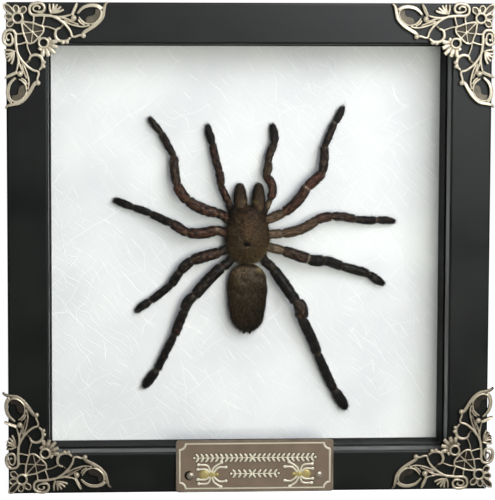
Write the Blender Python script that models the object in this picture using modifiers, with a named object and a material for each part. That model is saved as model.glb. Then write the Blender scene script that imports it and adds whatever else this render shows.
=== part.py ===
"""Framed tarantula specimen.

A black shadow box of mitred wooden rails, with glass in front, a paper-covered board that carries
the spider, cast filigree corners and a metal plate. The frame stands upright on its lower edge
and faces -Y. X runs to the right, Z up, and the origin is under the middle of the whole object.
"""
import math

import bmesh
import bpy
from mathutils import Matrix, Vector

MM = 0.001

# Frame
FRAME_WIDTH = 200 * MM
FRAME_HEIGHT = 203 * MM
FRAME_DEPTH = 32 * MM
RAIL_FACE = 17 * MM
RAIL_WALL = 11.5 * MM
LIP_DEPTH = 8 * MM
EDGE_ROUND = 0.9 * MM
GAP = 0.3 * MM

# Layers behind the lip, measured back from the face of the frame
GLASS_THICKNESS = 2 * MM
SPACER_REVEAL = 0.5 * MM
PAPER_DEPTH = 23.6 * MM
BOARD_THICKNESS = 3 * MM
PANEL_THICKNESS = 2.5 * MM

# Plate, its nails and the hanger
PLATE_SIZE = (65.9 * MM, 22.1 * MM)
PLATE_THICKNESS = 1.2 * MM
PLATE_CORNER = 1.2 * MM
PLATE_SHIFT = 2.2 * MM
PLATE_LIFT = 0.2 * MM
BORDER_INSET = 1.1 * MM
BORDER_WIDTH = 0.95 * MM
BORDER_RAISE = 0.35 * MM
BORDER_NOTCH = 2.4 * MM
PLATE_NAIL_SPREAD = 26.8 * MM
PLATE_NAIL_HEIGHT = 7.3 * MM
NAIL_HEAD = 1.65 * MM
NAIL_DOME = 0.9 * MM
NAIL_SHANK = 0.6 * MM
NAIL_LENGTH = 6 * MM
HANGER_SIZE = (46 * MM, 8 * MM)
HANGER_THICKNESS = 0.8 * MM
HANGER_TEETH = 9
HANGER_NAIL_SPREAD = 19.5 * MM
HANGER_BELOW_TOP = 24 * MM

# Filigree corners: how far each one's point lies past the rails at the side and at the level, and
# how many degrees the casting was pinned on anticlockwise
CORNER_PLACES = {"top_left": (1.9 * MM, 0.3 * MM, 1.0), "top_right": (1.5 * MM, 0.6 * MM, 0.0),
                 "bottom_left": (1.2 * MM, 0.4 * MM, 3.0), "bottom_right": (3.0 * MM, 0.0, 0.0)}
# Heights of the corners' relief
STRIP_HEIGHT = 1.6 * MM
RING_HEIGHT = 2.1 * MM
BALL_HEIGHT = 2.3 * MM
BACKING_HEIGHT = 0.8 * MM
MERGE_ANGLE = math.radians(12)

# Spider: half sizes across, along and in height, with middles above the paper
SPIDER_X = 0.2 * MM
CARAPACE_HALF = (9.3 * MM, 12.3 * MM, 4.6 * MM)
CARAPACE_ALONG = 4.3 * MM
CARAPACE_HEIGHT = 6.0 * MM
ABDOMEN_HALF = (8.0 * MM, 14.9 * MM, 5.3 * MM)
ABDOMEN_ALONG = -22.1 * MM
ABDOMEN_HEIGHT = 5.7 * MM
BODY_GAP = 0.35 * MM

# Limbs: where each one leaves the body (across, along, height), then each segment's length,
# compass heading (0 to the right, 90 to the head end), height at its far end, radius, and how far
# its middle bows out to the left of the heading. Segments run from the coxa to the tarsus.
LIMBS = {
    "leg_left_1": ((-9.0, 11.8, 5), [
        (4.3, 150, 7, 2.1, 0), (13.5, 157, 8, 2.35, 1), (7.8, 126, 7, 2.3, 0.6),
        (12, 96, 4.5, 1.95, 0.5), (10.9, 118, 3, 1.5, 0), (8.7, 128, 2, 1.4, 0.1)]),
    "leg_left_2": ((-9.0, 5.1, 5), [
        (4.5, 159, 6.5, 2.0, 0), (11.8, 186, 7.5, 2.3, 0.8), (7.9, 149, 6.5, 2.1, 0.4),
        (9.6, 157, 4.2, 1.7, 0.3), (7.8, 161, 3, 1.5, -0.2), (9, 158, 2, 1.55, 0)]),
    "leg_left_3": ((-9.0, -1.7, 5), [
        (3, 203, 6.5, 2.0, 0), (12, 195, 7.5, 2.4, 0), (6.8, 224, 6.5, 2.2, -0.2),
        (7.2, 238, 4.2, 1.85, -0.1), (10.9, 219, 3, 1.6, 0), (8, 216, 2, 1.6, -0.2)]),
    "leg_left_4": ((-7.7, -7.3, 5), [
        (3.5, 211, 6.5, 2.1, 0), (16.5, 226, 8, 2.45, -0.5), (7.4, 235, 7, 2.25, -0.9),
        (11.8, 249, 4.5, 2.0, -0.1), (17, 244, 3, 1.65, -0.1), (9.6, 234, 2, 1.9, -0.1)]),
    "leg_right_1": ((8.0, 10.5, 5), [
        (7.9, 25, 7, 2.1, 0), (14.3, 48, 8, 2.25, -0.9), (8.9, 42, 7, 2.25, 0),
        (11.1, 84, 4.5, 1.85, -0.5), (11.1, 66, 3, 1.5, -0.1), (7.9, 63, 2, 1.5, -0.4)]),
    "leg_right_2": ((8.8, 4.5, 5), [
        (6, 5, 6.5, 2.0, 0), (15.3, 22, 7.5, 2.15, -1.2), (6.6, 14, 6.5, 2.1, 0.2),
        (10.5, -8, 4.2, 1.8, 0.3), (9.2, -4, 3, 1.6, -0.3), (8.5, -4, 2, 1.5, 0.2)]),
    "leg_right_3": ((8.9, -0.9, 5), [
        (6.1, -12, 6.5, 2.0, 0), (11.3, -18, 7.5, 2.4, 0), (6.7, -5, 6.5, 2.4, -0.6),
        (8.6, -21, 4.2, 2.1, 0.2), (11.9, -16, 3, 1.9, 0.1), (8.4, -33, 2, 1.7, -0.1)]),
    "leg_right_4": ((8.0, -7.3, 5), [
        (3.7, -41, 6.5, 2.1, 0), (17.3, -55, 8, 2.5, 0), (7.2, -73, 7, 2.85, 1.1),
        (17.2, -65, 4.5, 2.2, 0.4), (17.9, -65, 3, 1.95, -0.2), (9.9, -56, 2, 2.25, -0.1)]),
    "palp_left": ((-7.0, 14.8, 4.6), [
        (3.4, 105, 5.5, 1.5, 0), (7.9, 115, 6, 1.6, 0.1), (5.7, 98, 5.5, 1.8, -0.2),
        (11.8, 103, 4, 1.65, 0.2), (8.8, 104, 2.2, 1.55, 0.2)]),
    "palp_right": ((7.7, 14.4, 4.6), [
        (5.3, 69, 5.5, 1.3, 0), (10.2, 101, 6, 1.85, -1.9), (5.6, 79, 5.5, 1.8, -0.3),
        (8, 71, 4, 1.65, 0.5), (8.7, 95, 2.2, 1.65, -0.5)]),
}
CHELICERA_LENGTH = 9.6 * MM
CHELICERA_RADIUS = 2.9 * MM
CHELICERA_MIDDLE = 0.8 * MM
CHELICERA_APART = 3.8 * MM
CHELICERA_TOE_OUT = 1.5

# Filigree strips in the corner's own plane, in millimetres from its outer corner: along one arm,
# then along the other. Each is drawn again with the two swapped, across the diagonal.
STRIPS = {
    "stem": ([(28.5, 14.4), (28.2, 12.9), (27.2, 11.2), (25.6, 9.4), (23.2, 7.5), (20.4, 6.2), (16.8, 5.8),
              (13.5, 5.7), (12.0, 4.9), (11.6, 3.8), (11.7, 2.5), (12.8, 1.2), (14.8, 0.8), (16.6, 1.1),
              (17.6, 2.2), (17.7, 3.5), (16.7, 4.4)], 1.2),
    "curl": ([(16.7, 4.4), (14.7, 4.3), (13.2, 3.7), (13.2, 2.6), (14.6, 2.2), (15.6, 2.9)], 1.0),
    "fan low": ([(20.6, 5.1), (23.4, 4.5), (25.5, 3.6)], 1.3),
    "fan second": ([(20.6, 5.1), (22.9, 3.6), (24.4, 2.2)], 1.3),
    "fan third": ([(20.6, 5.1), (22.0, 3.2), (22.9, 1.3)], 1.3),
    "fan fourth": ([(20.6, 5.1), (21.2, 3.0), (21.4, 1.0)], 1.3),
    "fan top": ([(20.6, 5.1), (20.2, 3.0), (19.8, 0.9)], 1.3),
    "finger": ([(28.9, 5.9), (30.0, 3.3), (31.1, 0.9)], 1.4),
    "loop": ([(31.2, 5.2), (32.9, 3.3), (35.0, 2.3), (37.4, 2.05), (39.6, 2.5), (41.1, 3.6), (41.3, 5.4),
              (40.6, 7.4), (39.1, 9.0), (37.1, 10.2)], 1.6),
    "rim": ([(43.4, 0.8), (42.2, 2.2), (41.9, 4.2), (41.4, 6.5), (40.0, 8.6), (38.0, 10.4), (35.8, 11.9),
             (33.9, 12.9), (32.9, 13.9), (31.5, 14.3), (29.8, 14.9), (28.4, 14.6)], 1.6),
    "long leaf": ([(24.6, 8.0), (27.9, 9.3), (30.7, 10.2), (33.3, 10.6), (35.7, 10.2)], 1.4),
    "twig": ([(20.1, 6.1), (23.7, 6.7), (26.7, 6.4), (28.9, 5.8)], 1.0),
    "lower twig": ([(23.7, 6.8), (26.5, 7.4), (28.8, 8.3)], 0.9),
    "inner leaf": ([(31.6, 6.8), (32.6, 8.2), (34.0, 9.4), (35.9, 9.9)], 1.3),
    "hook": ([(25.4, 9.4), (24.7, 10.4), (24.0, 11.2), (22.6, 11.6), (21.9, 13.0), (22.0, 14.6), (23.1, 16.1),
              (25.0, 16.6), (26.8, 16.2), (28.0, 15.1)], 1.2),
    "link": ([(16.8, 10.3), (19.1, 10.6), (21.9, 11.7)], 0.8),
    "grid far": ([(17.5, 6.0), (17.4, 7.4), (16.7, 9.8)], 0.8),
    "grid near": ([(13.2, 5.8), (13.3, 7.5), (12.9, 8.9)], 0.8),
    "web edge": ([(8.8, 8.3), (10.9, 8.6), (13.1, 9.0), (14.9, 9.7), (16.7, 10.4), (17.2, 11.6), (16.8, 12.9),
                  (15.7, 14.2), (14.9, 15.2)], 0.9),
    "web rib": ([(13.0, 8.9), (12.7, 12.7), (16.9, 12.0)], 0.7),
}
DIAGONAL_RIB = ([(8.3, 8.3), (15.5, 15.5)], 0.8)
WEB_PLATE = [(8.6, 8.6), (13.1, 9.0), (16.7, 10.4), (17.2, 11.6), (16.8, 12.9), (15.2, 15.2), (12.9, 16.8),
             (11.6, 17.2), (10.4, 16.7), (9.0, 13.1)]
PAISLEY = ([(38.4, 4.0), (39.4, 5.6), (38.3, 7.3), (36.4, 7.7), (35.0, 7.9)], 2.2)
RINGS = [((6.75, 6.75), 2.55, 1.5), ((17.0, 17.0), 2.4, 1.45)]
BALLS = [((29.5, 7.2), 1.3), ((33.3, 14.4), 1.2), ((26.7, 17.0), 0.9), ((24.8, 17.2), 0.85)]
FLOWER_PETALS = [(-99, 5.5), (-54, 5.7), (-135, 8.1)]
SHELL_PETALS = [(0, 7.6), (25, 7.1), (50, 6.7), (76, 4.6)]
FLOWER_WIDTH = 2.8
SHELL_WIDTH = 2.2

TRIM_PROUD = 2 * GAP + PLATE_THICKNESS + NAIL_DOME
FACE_Y = (TRIM_PROUD - FRAME_DEPTH) / 2
PAPER_Y = FACE_Y + PAPER_DEPTH
MIDDLE_Z = FRAME_HEIGHT / 2

for old in list(bpy.data.objects):
    bpy.data.objects.remove(old, do_unlink=True)

part = bpy.data.collections.new("framed_tarantula")
cutters = bpy.data.collections.new("cutters")
bpy.context.scene.collection.children.link(part)
bpy.context.scene.collection.children.link(cutters)


def material(name, colour, roughness, metallic=0.0, transmission=0.0):
    """A plain material with the piece's own colour and shine."""
    made = bpy.data.materials.new(name)
    made.use_nodes = True
    shader = made.node_tree.nodes["Principled BSDF"]
    shader.inputs["Base Color"].default_value = (*colour, 1)
    shader.inputs["Roughness"].default_value = roughness
    shader.inputs["Metallic"].default_value = metallic
    shader.inputs["Transmission Weight"].default_value = transmission
    return made


PAINT = material("black_paint", (0.022, 0.024, 0.022), 0.45)
CLEAR = material("clear_glass", (1, 1, 1), 0.02, transmission=1.0)
BLACK_BOARD = material("black_board", (0.02, 0.02, 0.02), 0.8)
PAPER = material("embossed_paper", (0.82, 0.83, 0.86), 0.7)
BROWN_BOARD = material("brown_board", (0.25, 0.16, 0.09), 0.8)
SILVER = material("antique_silver", (0.55, 0.52, 0.48), 0.35, metallic=1.0)
PLATE_METAL = material("antique_brass", (0.22, 0.16, 0.12), 0.4, metallic=1.0)
STEEL = material("zinc_steel", (0.6, 0.6, 0.6), 0.35, metallic=1.0)
BODY = material("spider_brown", (0.07, 0.045, 0.025), 0.8)
LIMB = material("spider_dark", (0.03, 0.022, 0.015), 0.8)


def place(name, mesh, finish, group=part):
    """Puts a mesh into the scene under its own name."""
    mesh.name = name
    mesh.materials.clear()
    mesh.materials.append(finish)
    made = bpy.data.objects.new(name, mesh)
    group.objects.link(made)
    return made


def mesh_from(bm, name="mesh"):
    """Ends a bmesh as a mesh with its faces pointing out."""
    bmesh.ops.recalc_face_normals(bm, faces=bm.faces)
    mesh = bpy.data.meshes.new(name)
    bm.to_mesh(mesh)
    bm.free()
    return mesh


def settled(obj):
    """The mesh that an object shows, in world space; the object is removed."""
    shown = obj.evaluated_get(bpy.context.evaluated_depsgraph_get())
    bm = bmesh.new()
    bm.from_mesh(bpy.data.meshes.new_from_object(shown))
    bmesh.ops.transform(bm, matrix=obj.matrix_world, verts=bm.verts)
    bmesh.ops.remove_doubles(bm, verts=bm.verts, dist=0.002 * MM)
    bpy.data.objects.remove(obj, do_unlink=True)
    return mesh_from(bm)


def hidden_cutter(name, mesh):
    """A tool object, drawn as wire and left out of the part."""
    made = place(name, mesh, STEEL, cutters)
    made.hide_render = True
    made.display_type = "WIRE"
    return made


def cut(obj, cutter):
    """Takes one solid from another."""
    hole = obj.modifiers.new("cut", "BOOLEAN")
    hole.operation = "DIFFERENCE"
    hole.solver = "EXACT"
    hole.object = cutter
    return obj


def box(low, high):
    """A plain block between two corners."""
    bm = bmesh.new()
    bmesh.ops.create_cube(bm, size=1)
    size = Vector(high) - Vector(low)
    bmesh.ops.scale(bm, vec=size, verts=bm.verts)
    bmesh.ops.translate(bm, vec=(Vector(high) + Vector(low)) / 2, verts=bm.verts)
    return mesh_from(bm)


def slab(outline, thickness):
    """A flat outline in XY with straight sides, from z = 0 up."""
    curve = bpy.data.curves.new("outline", "CURVE")
    curve.dimensions = "2D"
    curve.fill_mode = "BOTH"
    curve.extrude = thickness / 2
    spline = curve.splines.new("POLY")
    spline.points.add(len(outline) - 1)
    for point, (x, y) in zip(spline.points, outline):
        point.co = (x, y, 0, 1)
    spline.use_cyclic_u = True
    made = bpy.data.objects.new("outline", curve)
    bpy.context.scene.collection.objects.link(made)
    made.location.z = thickness / 2
    bpy.context.view_layer.update()
    mesh = settled(made)
    bpy.data.curves.remove(curve)
    return mesh


def arc(centre, radius, start, end, steps):
    """Points along a round stretch, angles in degrees."""
    turns = [math.radians(start + (end - start) * i / steps) for i in range(steps + 1)]
    return [(centre[0] + radius * math.cos(a), centre[1] + radius * math.sin(a)) for a in turns]


def rounded_rectangle(width, height, radius, steps=3):
    """An outline about the origin with round corners."""
    x, y = width / 2 - radius, height / 2 - radius
    corners = [((x, y), 0), ((-x, y), 90), ((-x, -y), 180), ((x, -y), 270)]
    return [p for centre, start in corners for p in arc(centre, radius, start, start + 90, steps)]


def face_front(obj, x, y, z, turned=False):
    """Stands a piece modelled lying on XY up, so that its top looks to -Y, or to +Y if turned."""
    obj.rotation_euler = (math.radians(90), 0, math.radians(180) if turned else 0)
    obj.location = (x, y, z)
    return obj


# Wooden rails
def rail_section():
    """The rail's section: distance in from its outer side, distance back from its face."""
    outer = arc((EDGE_ROUND, EDGE_ROUND), EDGE_ROUND, 180, 270, 3)
    inner = arc((RAIL_FACE - EDGE_ROUND, EDGE_ROUND), EDGE_ROUND, 270, 360, 3)
    rabbet = [(RAIL_FACE, LIP_DEPTH), (RAIL_WALL, LIP_DEPTH), (RAIL_WALL, FRAME_DEPTH), (0, FRAME_DEPTH)]
    return outer + inner + rabbet


def rail(name, half_length, half_across, turn):
    """One mitred rail, drawn as the lower one and turned about the middle of the frame."""
    bm = bmesh.new()
    ends = [(t - half_length + GAP / 2, FACE_Y + back, t - half_across) for t, back in rail_section()]
    first = bm.faces.new([bm.verts.new(point) for point in ends])
    grown = bmesh.ops.extrude_face_region(bm, geom=[first])["geom"]
    for vert in grown:
        if isinstance(vert, bmesh.types.BMVert):
            vert.co.x = -vert.co.x
    spin = Matrix.Translation((0, 0, MIDDLE_Z)) @ Matrix.Rotation(math.radians(turn), 4, "Y")
    bmesh.ops.transform(bm, matrix=spin, verts=bm.verts)
    return place(name, mesh_from(bm), PAINT)


HALF_W, HALF_H = FRAME_WIDTH / 2, FRAME_HEIGHT / 2
rail_bottom = rail("rail_bottom", HALF_W, HALF_H, 0)
rail("rail_left", HALF_H, HALF_W, 90)
rail("rail_top", HALF_W, HALF_H, 180)
rail("rail_right", HALF_H, HALF_W, 270)

# Layers inside the frame
INSIDE_X = HALF_W - RAIL_WALL - GAP
INSIDE_Z = HALF_H - RAIL_WALL - GAP


def layer(name, front, thickness, finish):
    """A sheet that fills the rabbet."""
    low = (-INSIDE_X, FACE_Y + front, MIDDLE_Z - INSIDE_Z)
    high = (INSIDE_X, FACE_Y + front + thickness, MIDDLE_Z + INSIDE_Z)
    return place(name, box(low, high), finish)


SPACER_FRONT = LIP_DEPTH + GLASS_THICKNESS + 2 * GAP
SPACER_WIDTH = RAIL_FACE + SPACER_REVEAL - RAIL_WALL - GAP
PANEL_FRONT = PAPER_DEPTH + BOARD_THICKNESS + GAP
layer("glass", LIP_DEPTH + GAP, GLASS_THICKNESS, CLEAR)
layer("mount_board", PAPER_DEPTH, BOARD_THICKNESS, PAPER)
back_panel = layer("back_panel", PANEL_FRONT, PANEL_THICKNESS, BROWN_BOARD)


def spacer(name, low_x, high_x, low_z, high_z):
    """A strip between the glass and the board, placed about the middle of the frame."""
    low = (low_x, FACE_Y + SPACER_FRONT, MIDDLE_Z + low_z)
    high = (high_x, PAPER_Y - GAP, MIDDLE_Z + high_z)
    return place(name, box(low, high), BLACK_BOARD)


SIDE_Z = INSIDE_Z - SPACER_WIDTH - GAP
spacer("spacer_top", -INSIDE_X, INSIDE_X, INSIDE_Z - SPACER_WIDTH, INSIDE_Z)
spacer("spacer_bottom", -INSIDE_X, INSIDE_X, -INSIDE_Z, -INSIDE_Z + SPACER_WIDTH)
spacer("spacer_left", -INSIDE_X, -INSIDE_X + SPACER_WIDTH, -SIDE_Z, SIDE_Z)
spacer("spacer_right", INSIDE_X - SPACER_WIDTH, INSIDE_X, -SIDE_Z, SIDE_Z)


# Nails, the plate and the hanger
def bore(name, x, y, z, depth, radius=NAIL_SHANK + GAP):
    """A round cutter along Y, reaching the same depth to both sides of the point."""
    bm = bmesh.new()
    bmesh.ops.create_cone(bm, cap_ends=True, segments=12, radius1=radius, radius2=radius, depth=2 * depth)
    turn = Matrix.Translation((x, y, z)) @ Matrix.Rotation(math.radians(90), 4, "X")
    bmesh.ops.transform(bm, matrix=turn, verts=bm.verts)
    return hidden_cutter(name, mesh_from(bm))


def nail(name, head, dome, length):
    """A domed nail turned about Z, with its head above z = 0 and its shank below."""
    side = [(head * math.sin(math.radians(a)), dome * math.cos(math.radians(a))) for a in range(0, 91, 15)]
    side += [(NAIL_SHANK, 0), (NAIL_SHANK, NAIL_SHANK - length), (0, -length)]
    bm = bmesh.new()
    verts = [bm.verts.new((x, 0, z)) for x, z in side]
    for a, b in zip(verts, verts[1:]):
        bm.edges.new((a, b))
    mesh = bpy.data.meshes.new(name)
    bm.to_mesh(mesh)
    bm.free()
    made = place(name, mesh, STEEL)
    turn = made.modifiers.new("turn", "SCREW")
    turn.axis = "Z"
    turn.steps = turn.render_steps = 14
    turn.use_merge_vertices = True
    turn.merge_threshold = 0.00001
    return made


plate_z = PLATE_LIFT + PLATE_SIZE[1] / 2
plate_y = FACE_Y - GAP
nail_z = PLATE_NAIL_HEIGHT
field = place("nameplate", slab(rounded_rectangle(*PLATE_SIZE, PLATE_CORNER), PLATE_THICKNESS), PLATE_METAL)
face_front(field, PLATE_SHIFT, plate_y, plate_z)


def notched_outline(inset, notch, steps=3):
    """The border's outline: a rectangle whose corners are scooped inwards."""
    x, y = PLATE_SIZE[0] / 2 - inset, PLATE_SIZE[1] / 2 - inset
    corners = [((x, y), 270), ((-x, y), 0), ((-x, -y), 90), ((x, -y), 180)]
    return [p for centre, start in corners for p in arc(centre, notch, start, start - 90, steps)]


border_height = PLATE_THICKNESS / 2 + BORDER_RAISE
border = hidden_cutter("border", slab(notched_outline(BORDER_INSET, BORDER_NOTCH), border_height))
inside = slab(notched_outline(BORDER_INSET + BORDER_WIDTH, BORDER_NOTCH), 4 * border_height)
inside.transform(Matrix.Translation((0, 0, -border_height)))
cut(border, hidden_cutter("border_inside", inside))
bpy.context.view_layer.update()
border = hidden_cutter("border_line", settled(border))
border.data.transform(Matrix.Translation((0, 0, PLATE_THICKNESS / 2)))
face_front(border, PLATE_SHIFT, plate_y, plate_z)
raised = field.modifiers.new("border", "BOOLEAN")
raised.operation = "UNION"
raised.solver = "EXACT"
raised.object = border

for side, sign in (("left", -1), ("right", 1)):
    nail_x = PLATE_SHIFT + sign * PLATE_NAIL_SPREAD
    hole = bore(f"plate_bore_{side}", nail_x, FACE_Y, nail_z, NAIL_LENGTH)
    cut(field, hole)
    cut(rail_bottom, hole)
    fixing = nail(f"nameplate_nail_{side}", NAIL_HEAD, NAIL_DOME, NAIL_LENGTH)
    face_front(fixing, nail_x, plate_y - PLATE_THICKNESS - GAP, nail_z)


def hanger_outline():
    """A long strap with a row of teeth cut into the lower side of its middle."""
    half_x, half_y = HANGER_SIZE[0] / 2, HANGER_SIZE[1] / 2
    pitch = 2.6 * MM
    start = -pitch * HANGER_TEETH / 2
    teeth = [(start, 0.0)]
    for i in range(HANGER_TEETH):
        teeth.append((start + pitch * (i + 0.5), -0.25 * half_y))
        teeth.append((start + pitch * (i + 1), 0.0))
    ends = [(-half_x, half_y), (-half_x, -half_y), (start - pitch, -half_y)]
    return ends + teeth + [(-x, y) for x, y in reversed(ends)]


panel_back = FACE_Y + PANEL_FRONT + PANEL_THICKNESS
hanger_z = FRAME_HEIGHT - HANGER_BELOW_TOP
hanger = place("sawtooth_hanger", slab(hanger_outline(), HANGER_THICKNESS), STEEL)
face_front(hanger, 0, panel_back + GAP, hanger_z, turned=True)
for side, sign in (("left", 1), ("right", -1)):
    hole = bore(f"hanger_bore_{side}", sign * HANGER_NAIL_SPREAD, panel_back, hanger_z, 2 * MM)
    cut(hanger, hole)
    cut(back_panel, hole)
    fixing = nail(f"hanger_nail_{side}", 1.4 * MM, 0.5 * MM, 2.6 * MM)
    face_front(fixing, sign * HANGER_NAIL_SPREAD, panel_back + 2 * GAP + HANGER_THICKNESS, hanger_z, turned=True)


# Filigree corners
def smooth_line(points, per_span):
    """Points along a soft curve through the given ones."""
    ends = [points[0], *points, points[-1]]
    line = []
    for p0, p1, p2, p3 in zip(ends, ends[1:], ends[2:], ends[3:]):
        for i in range(per_span):
            t = i / per_span
            line.append(tuple(0.5 * (2 * b + (c - a) * t + (2 * a - 5 * b + 4 * c - d) * t * t
                                     + (3 * b - a - 3 * c + d) * t ** 3)
                              for a, b, c, d in zip(p0, p1, p2, p3)))
    return line + [tuple(points[-1])]


def ribbon(points, width):
    """The outline of a strip of even width, in metres."""
    per_span = 2 if 2 < len(points) < 6 else 1
    line = [Vector(p) * MM for p in smooth_line(points, per_span)]
    half = width * MM / 2
    left, right = [], []
    for i, here in enumerate(line):
        ahead = (line[min(i + 1, len(line) - 1)] - line[max(i - 1, 0)]).normalized()
        across = Vector((-ahead.y, ahead.x)) * half
        left.append(here + across)
        right.append(here - across)
    return [tuple(p) for p in [*left, *reversed(right)]]


def swapped(points):
    """The same points across the corner's diagonal."""
    return [(b, a) for a, b in points]


def petal(centre, heading, length, width, steps=2):
    """A drop-shaped outline that leaves a ring, in millimetres."""
    turn = math.radians(heading)
    ahead = Vector((math.cos(turn), math.sin(turn)))
    across = Vector((-ahead.y, ahead.x))
    root = Vector(centre)
    tip = root + ahead * (length - width / 2)
    round_end = [tip + (across * math.cos(a) + ahead * math.sin(a)) * width / 2
                 for a in (math.pi * i / steps for i in range(steps + 1))]
    narrow = width * 0.3
    shape = [root - across * narrow, root + across * narrow, *round_end]
    return [tuple(p * MM) for p in shape]


def filigree():
    """One corner lying on XY: strips, rings, balls and petals grown into one solid."""
    pieces = []
    for points, width in STRIPS.values():
        for line in (points, swapped(points)):
            pieces.append(slab(ribbon(line, width), STRIP_HEIGHT))
    pieces.append(slab(ribbon(*DIAGONAL_RIB), STRIP_HEIGHT))
    pieces.append(slab([(a * MM, b * MM) for a, b in WEB_PLATE], BACKING_HEIGHT))
    for line in (PAISLEY[0], swapped(PAISLEY[0])):
        pieces.append(slab(ribbon(line, PAISLEY[1]), BACKING_HEIGHT))
    for (a, b), radius in BALLS:
        for spot in ((a, b), (b, a)):
            middle = Vector(spot) * MM
            pieces.append(slab(arc(middle, radius * MM, 0, 315, 7), BALL_HEIGHT))
    for turn, length in FLOWER_PETALS:
        for heading in sorted({turn % 360, (90 - turn) % 360}):
            pieces.append(slab(petal(RINGS[0][0], heading, length, FLOWER_WIDTH), STRIP_HEIGHT))
    for turn, length in SHELL_PETALS:
        for heading in sorted({45 + turn, 45 - turn}):
            pieces.append(slab(petal(RINGS[1][0], heading, length, SHELL_WIDTH), STRIP_HEIGHT))
    for centre, radius, hole in RINGS:
        middle = Vector(centre) * MM
        pieces.append(slab(arc(middle, radius * MM, 0, 330, 11), RING_HEIGHT))
    group = bpy.data.collections.new("filigree_parts")
    cutters.children.link(group)
    base = place("filigree", pieces[0], SILVER, cutters)
    for number, mesh in enumerate(pieces[1:]):
        lifted = place(f"strip_{number}", mesh, SILVER, group)
        lifted.hide_render = True
    joined = base.modifiers.new("join", "BOOLEAN")
    joined.operation = "UNION"
    joined.solver = "EXACT"
    joined.operand_type = "COLLECTION"
    joined.collection = group
    bpy.context.view_layer.update()
    solid = settled(base)
    for strip in list(group.objects):
        bpy.data.objects.remove(strip, do_unlink=True)
    bpy.data.collections.remove(group)
    base = place("filigree", solid, SILVER, cutters)
    for number, (centre, radius, hole) in enumerate(RINGS):
        bm = bmesh.new()
        bmesh.ops.create_cone(bm, cap_ends=True, segments=10, radius1=hole * MM, radius2=hole * MM, depth=9 * MM)
        bmesh.ops.translate(bm, vec=(centre[0] * MM, centre[1] * MM, 0), verts=bm.verts)
        cut(base, hidden_cutter(f"ring_hole_{number}", mesh_from(bm)))
    bpy.context.view_layer.update()
    solid = settled(base)
    bm = bmesh.new()
    bm.from_mesh(solid)
    bmesh.ops.dissolve_limit(bm, angle_limit=MERGE_ANGLE, verts=bm.verts, edges=bm.edges)
    return mesh_from(bm)


master = filigree()
for level, top in (("top", 1), ("bottom", -1)):
    for side, sign in (("left", -1), ("right", 1)):
        # Local first axis runs inwards along the rail, the second inwards along the upright
        past_side, past_level, degrees = CORNER_PLACES[f"{level}_{side}"]
        edge_x = sign * (HALF_W + past_side)
        edge_z = FRAME_HEIGHT + past_level if top > 0 else -past_level
        stand = Matrix(((-sign, 0, 0, edge_x), (0, 0, -1, FACE_Y - GAP), (0, -top, 0, edge_z), (0, 0, 0, 1)))
        pin = Matrix.Translation(stand @ (Vector((*RINGS[0][0], 0)) * MM))
        turn = pin @ Matrix.Rotation(math.radians(-degrees), 4, "Y") @ pin.inverted()
        bm = bmesh.new()
        bm.from_mesh(master)
        bmesh.ops.transform(bm, matrix=turn @ stand, verts=bm.verts)
        place(f"corner_{level}_{side}", mesh_from(bm), SILVER)


# Spider body
def on_paper(across, along, height):
    """A point of the spider, with its height above the paper."""
    return Vector((SPIDER_X + across, PAPER_Y - height, MIDDLE_Z + along))


def squared(value, power):
    """Pushes a value between -1 and 1 outwards, for a fuller oval."""
    return math.copysign(abs(value) ** power, value)


def body_mesh(half, along, height, shape, grow=0.0, segments=22, rings=13):
    """A ball drawn out to an oval body, then shaped by a rule of its own."""
    bm = bmesh.new()
    bmesh.ops.create_uvsphere(bm, u_segments=segments, v_segments=rings, radius=1)
    for vert in bm.verts:
        x, y, z = shape(*vert.co)
        vert.co = on_paper(x * (half[0] + grow), along + y * (half[1] + grow), height + z * (half[2] + grow))
    return mesh_from(bm)


def carapace_shape(x, y, z):
    """Full oval with a blunt head end, which is narrower and a little higher."""
    x = squared(x, 0.86)
    if y > 0:
        blunt = ((1 - y ** 7) ** (1 / 7)) / max(math.sqrt(1 - y * y), 0.01) if y < 1 else 1
        taper = 1 - 0.16 * min(1.0, y / 0.5)
        x, z = x * blunt * taper, z * (1 + (blunt - 1) * 0.7)
    head = max(0.0, y - 0.25) / 0.75
    return x, math.copysign(abs(y) ** 0.9, y), z * (1 + 0.12 * head) if z > 0 else z


def abdomen_shape(x, y, z):
    """Squarish oval, broad in front where it meets the carapace and narrower to the blunt tail."""
    front = max(0.0, y)
    return squared(x, 0.82) * (1 + 0.33 * front), squared(y, 0.94 - 0.1 * front), squared(z, 0.9)


carapace = body_mesh(CARAPACE_HALF, CARAPACE_ALONG, CARAPACE_HEIGHT, carapace_shape)
place("carapace", carapace, BODY)
room = hidden_cutter("carapace_room", body_mesh(CARAPACE_HALF, CARAPACE_ALONG, CARAPACE_HEIGHT,
                                                carapace_shape, grow=BODY_GAP))


def tube(points, radii, roundness=1):
    """A limb: a round tube through the points, thicker and thinner with the radii, with closed ends."""
    curve = bpy.data.curves.new("limb", "CURVE")
    curve.dimensions = "3D"
    curve.bevel_depth = 1 * MM
    curve.bevel_resolution = roundness
    curve.use_fill_caps = True
    spline = curve.splines.new("POLY")
    spline.points.add(len(points) - 1)
    for point, place_at, radius in zip(spline.points, points, radii):
        point.co = (*place_at, 1)
        point.radius = radius
    made = bpy.data.objects.new("limb", curve)
    bpy.context.scene.collection.objects.link(made)
    bpy.context.view_layer.update()
    mesh = settled(made)
    bpy.data.curves.remove(curve)
    return mesh


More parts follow.
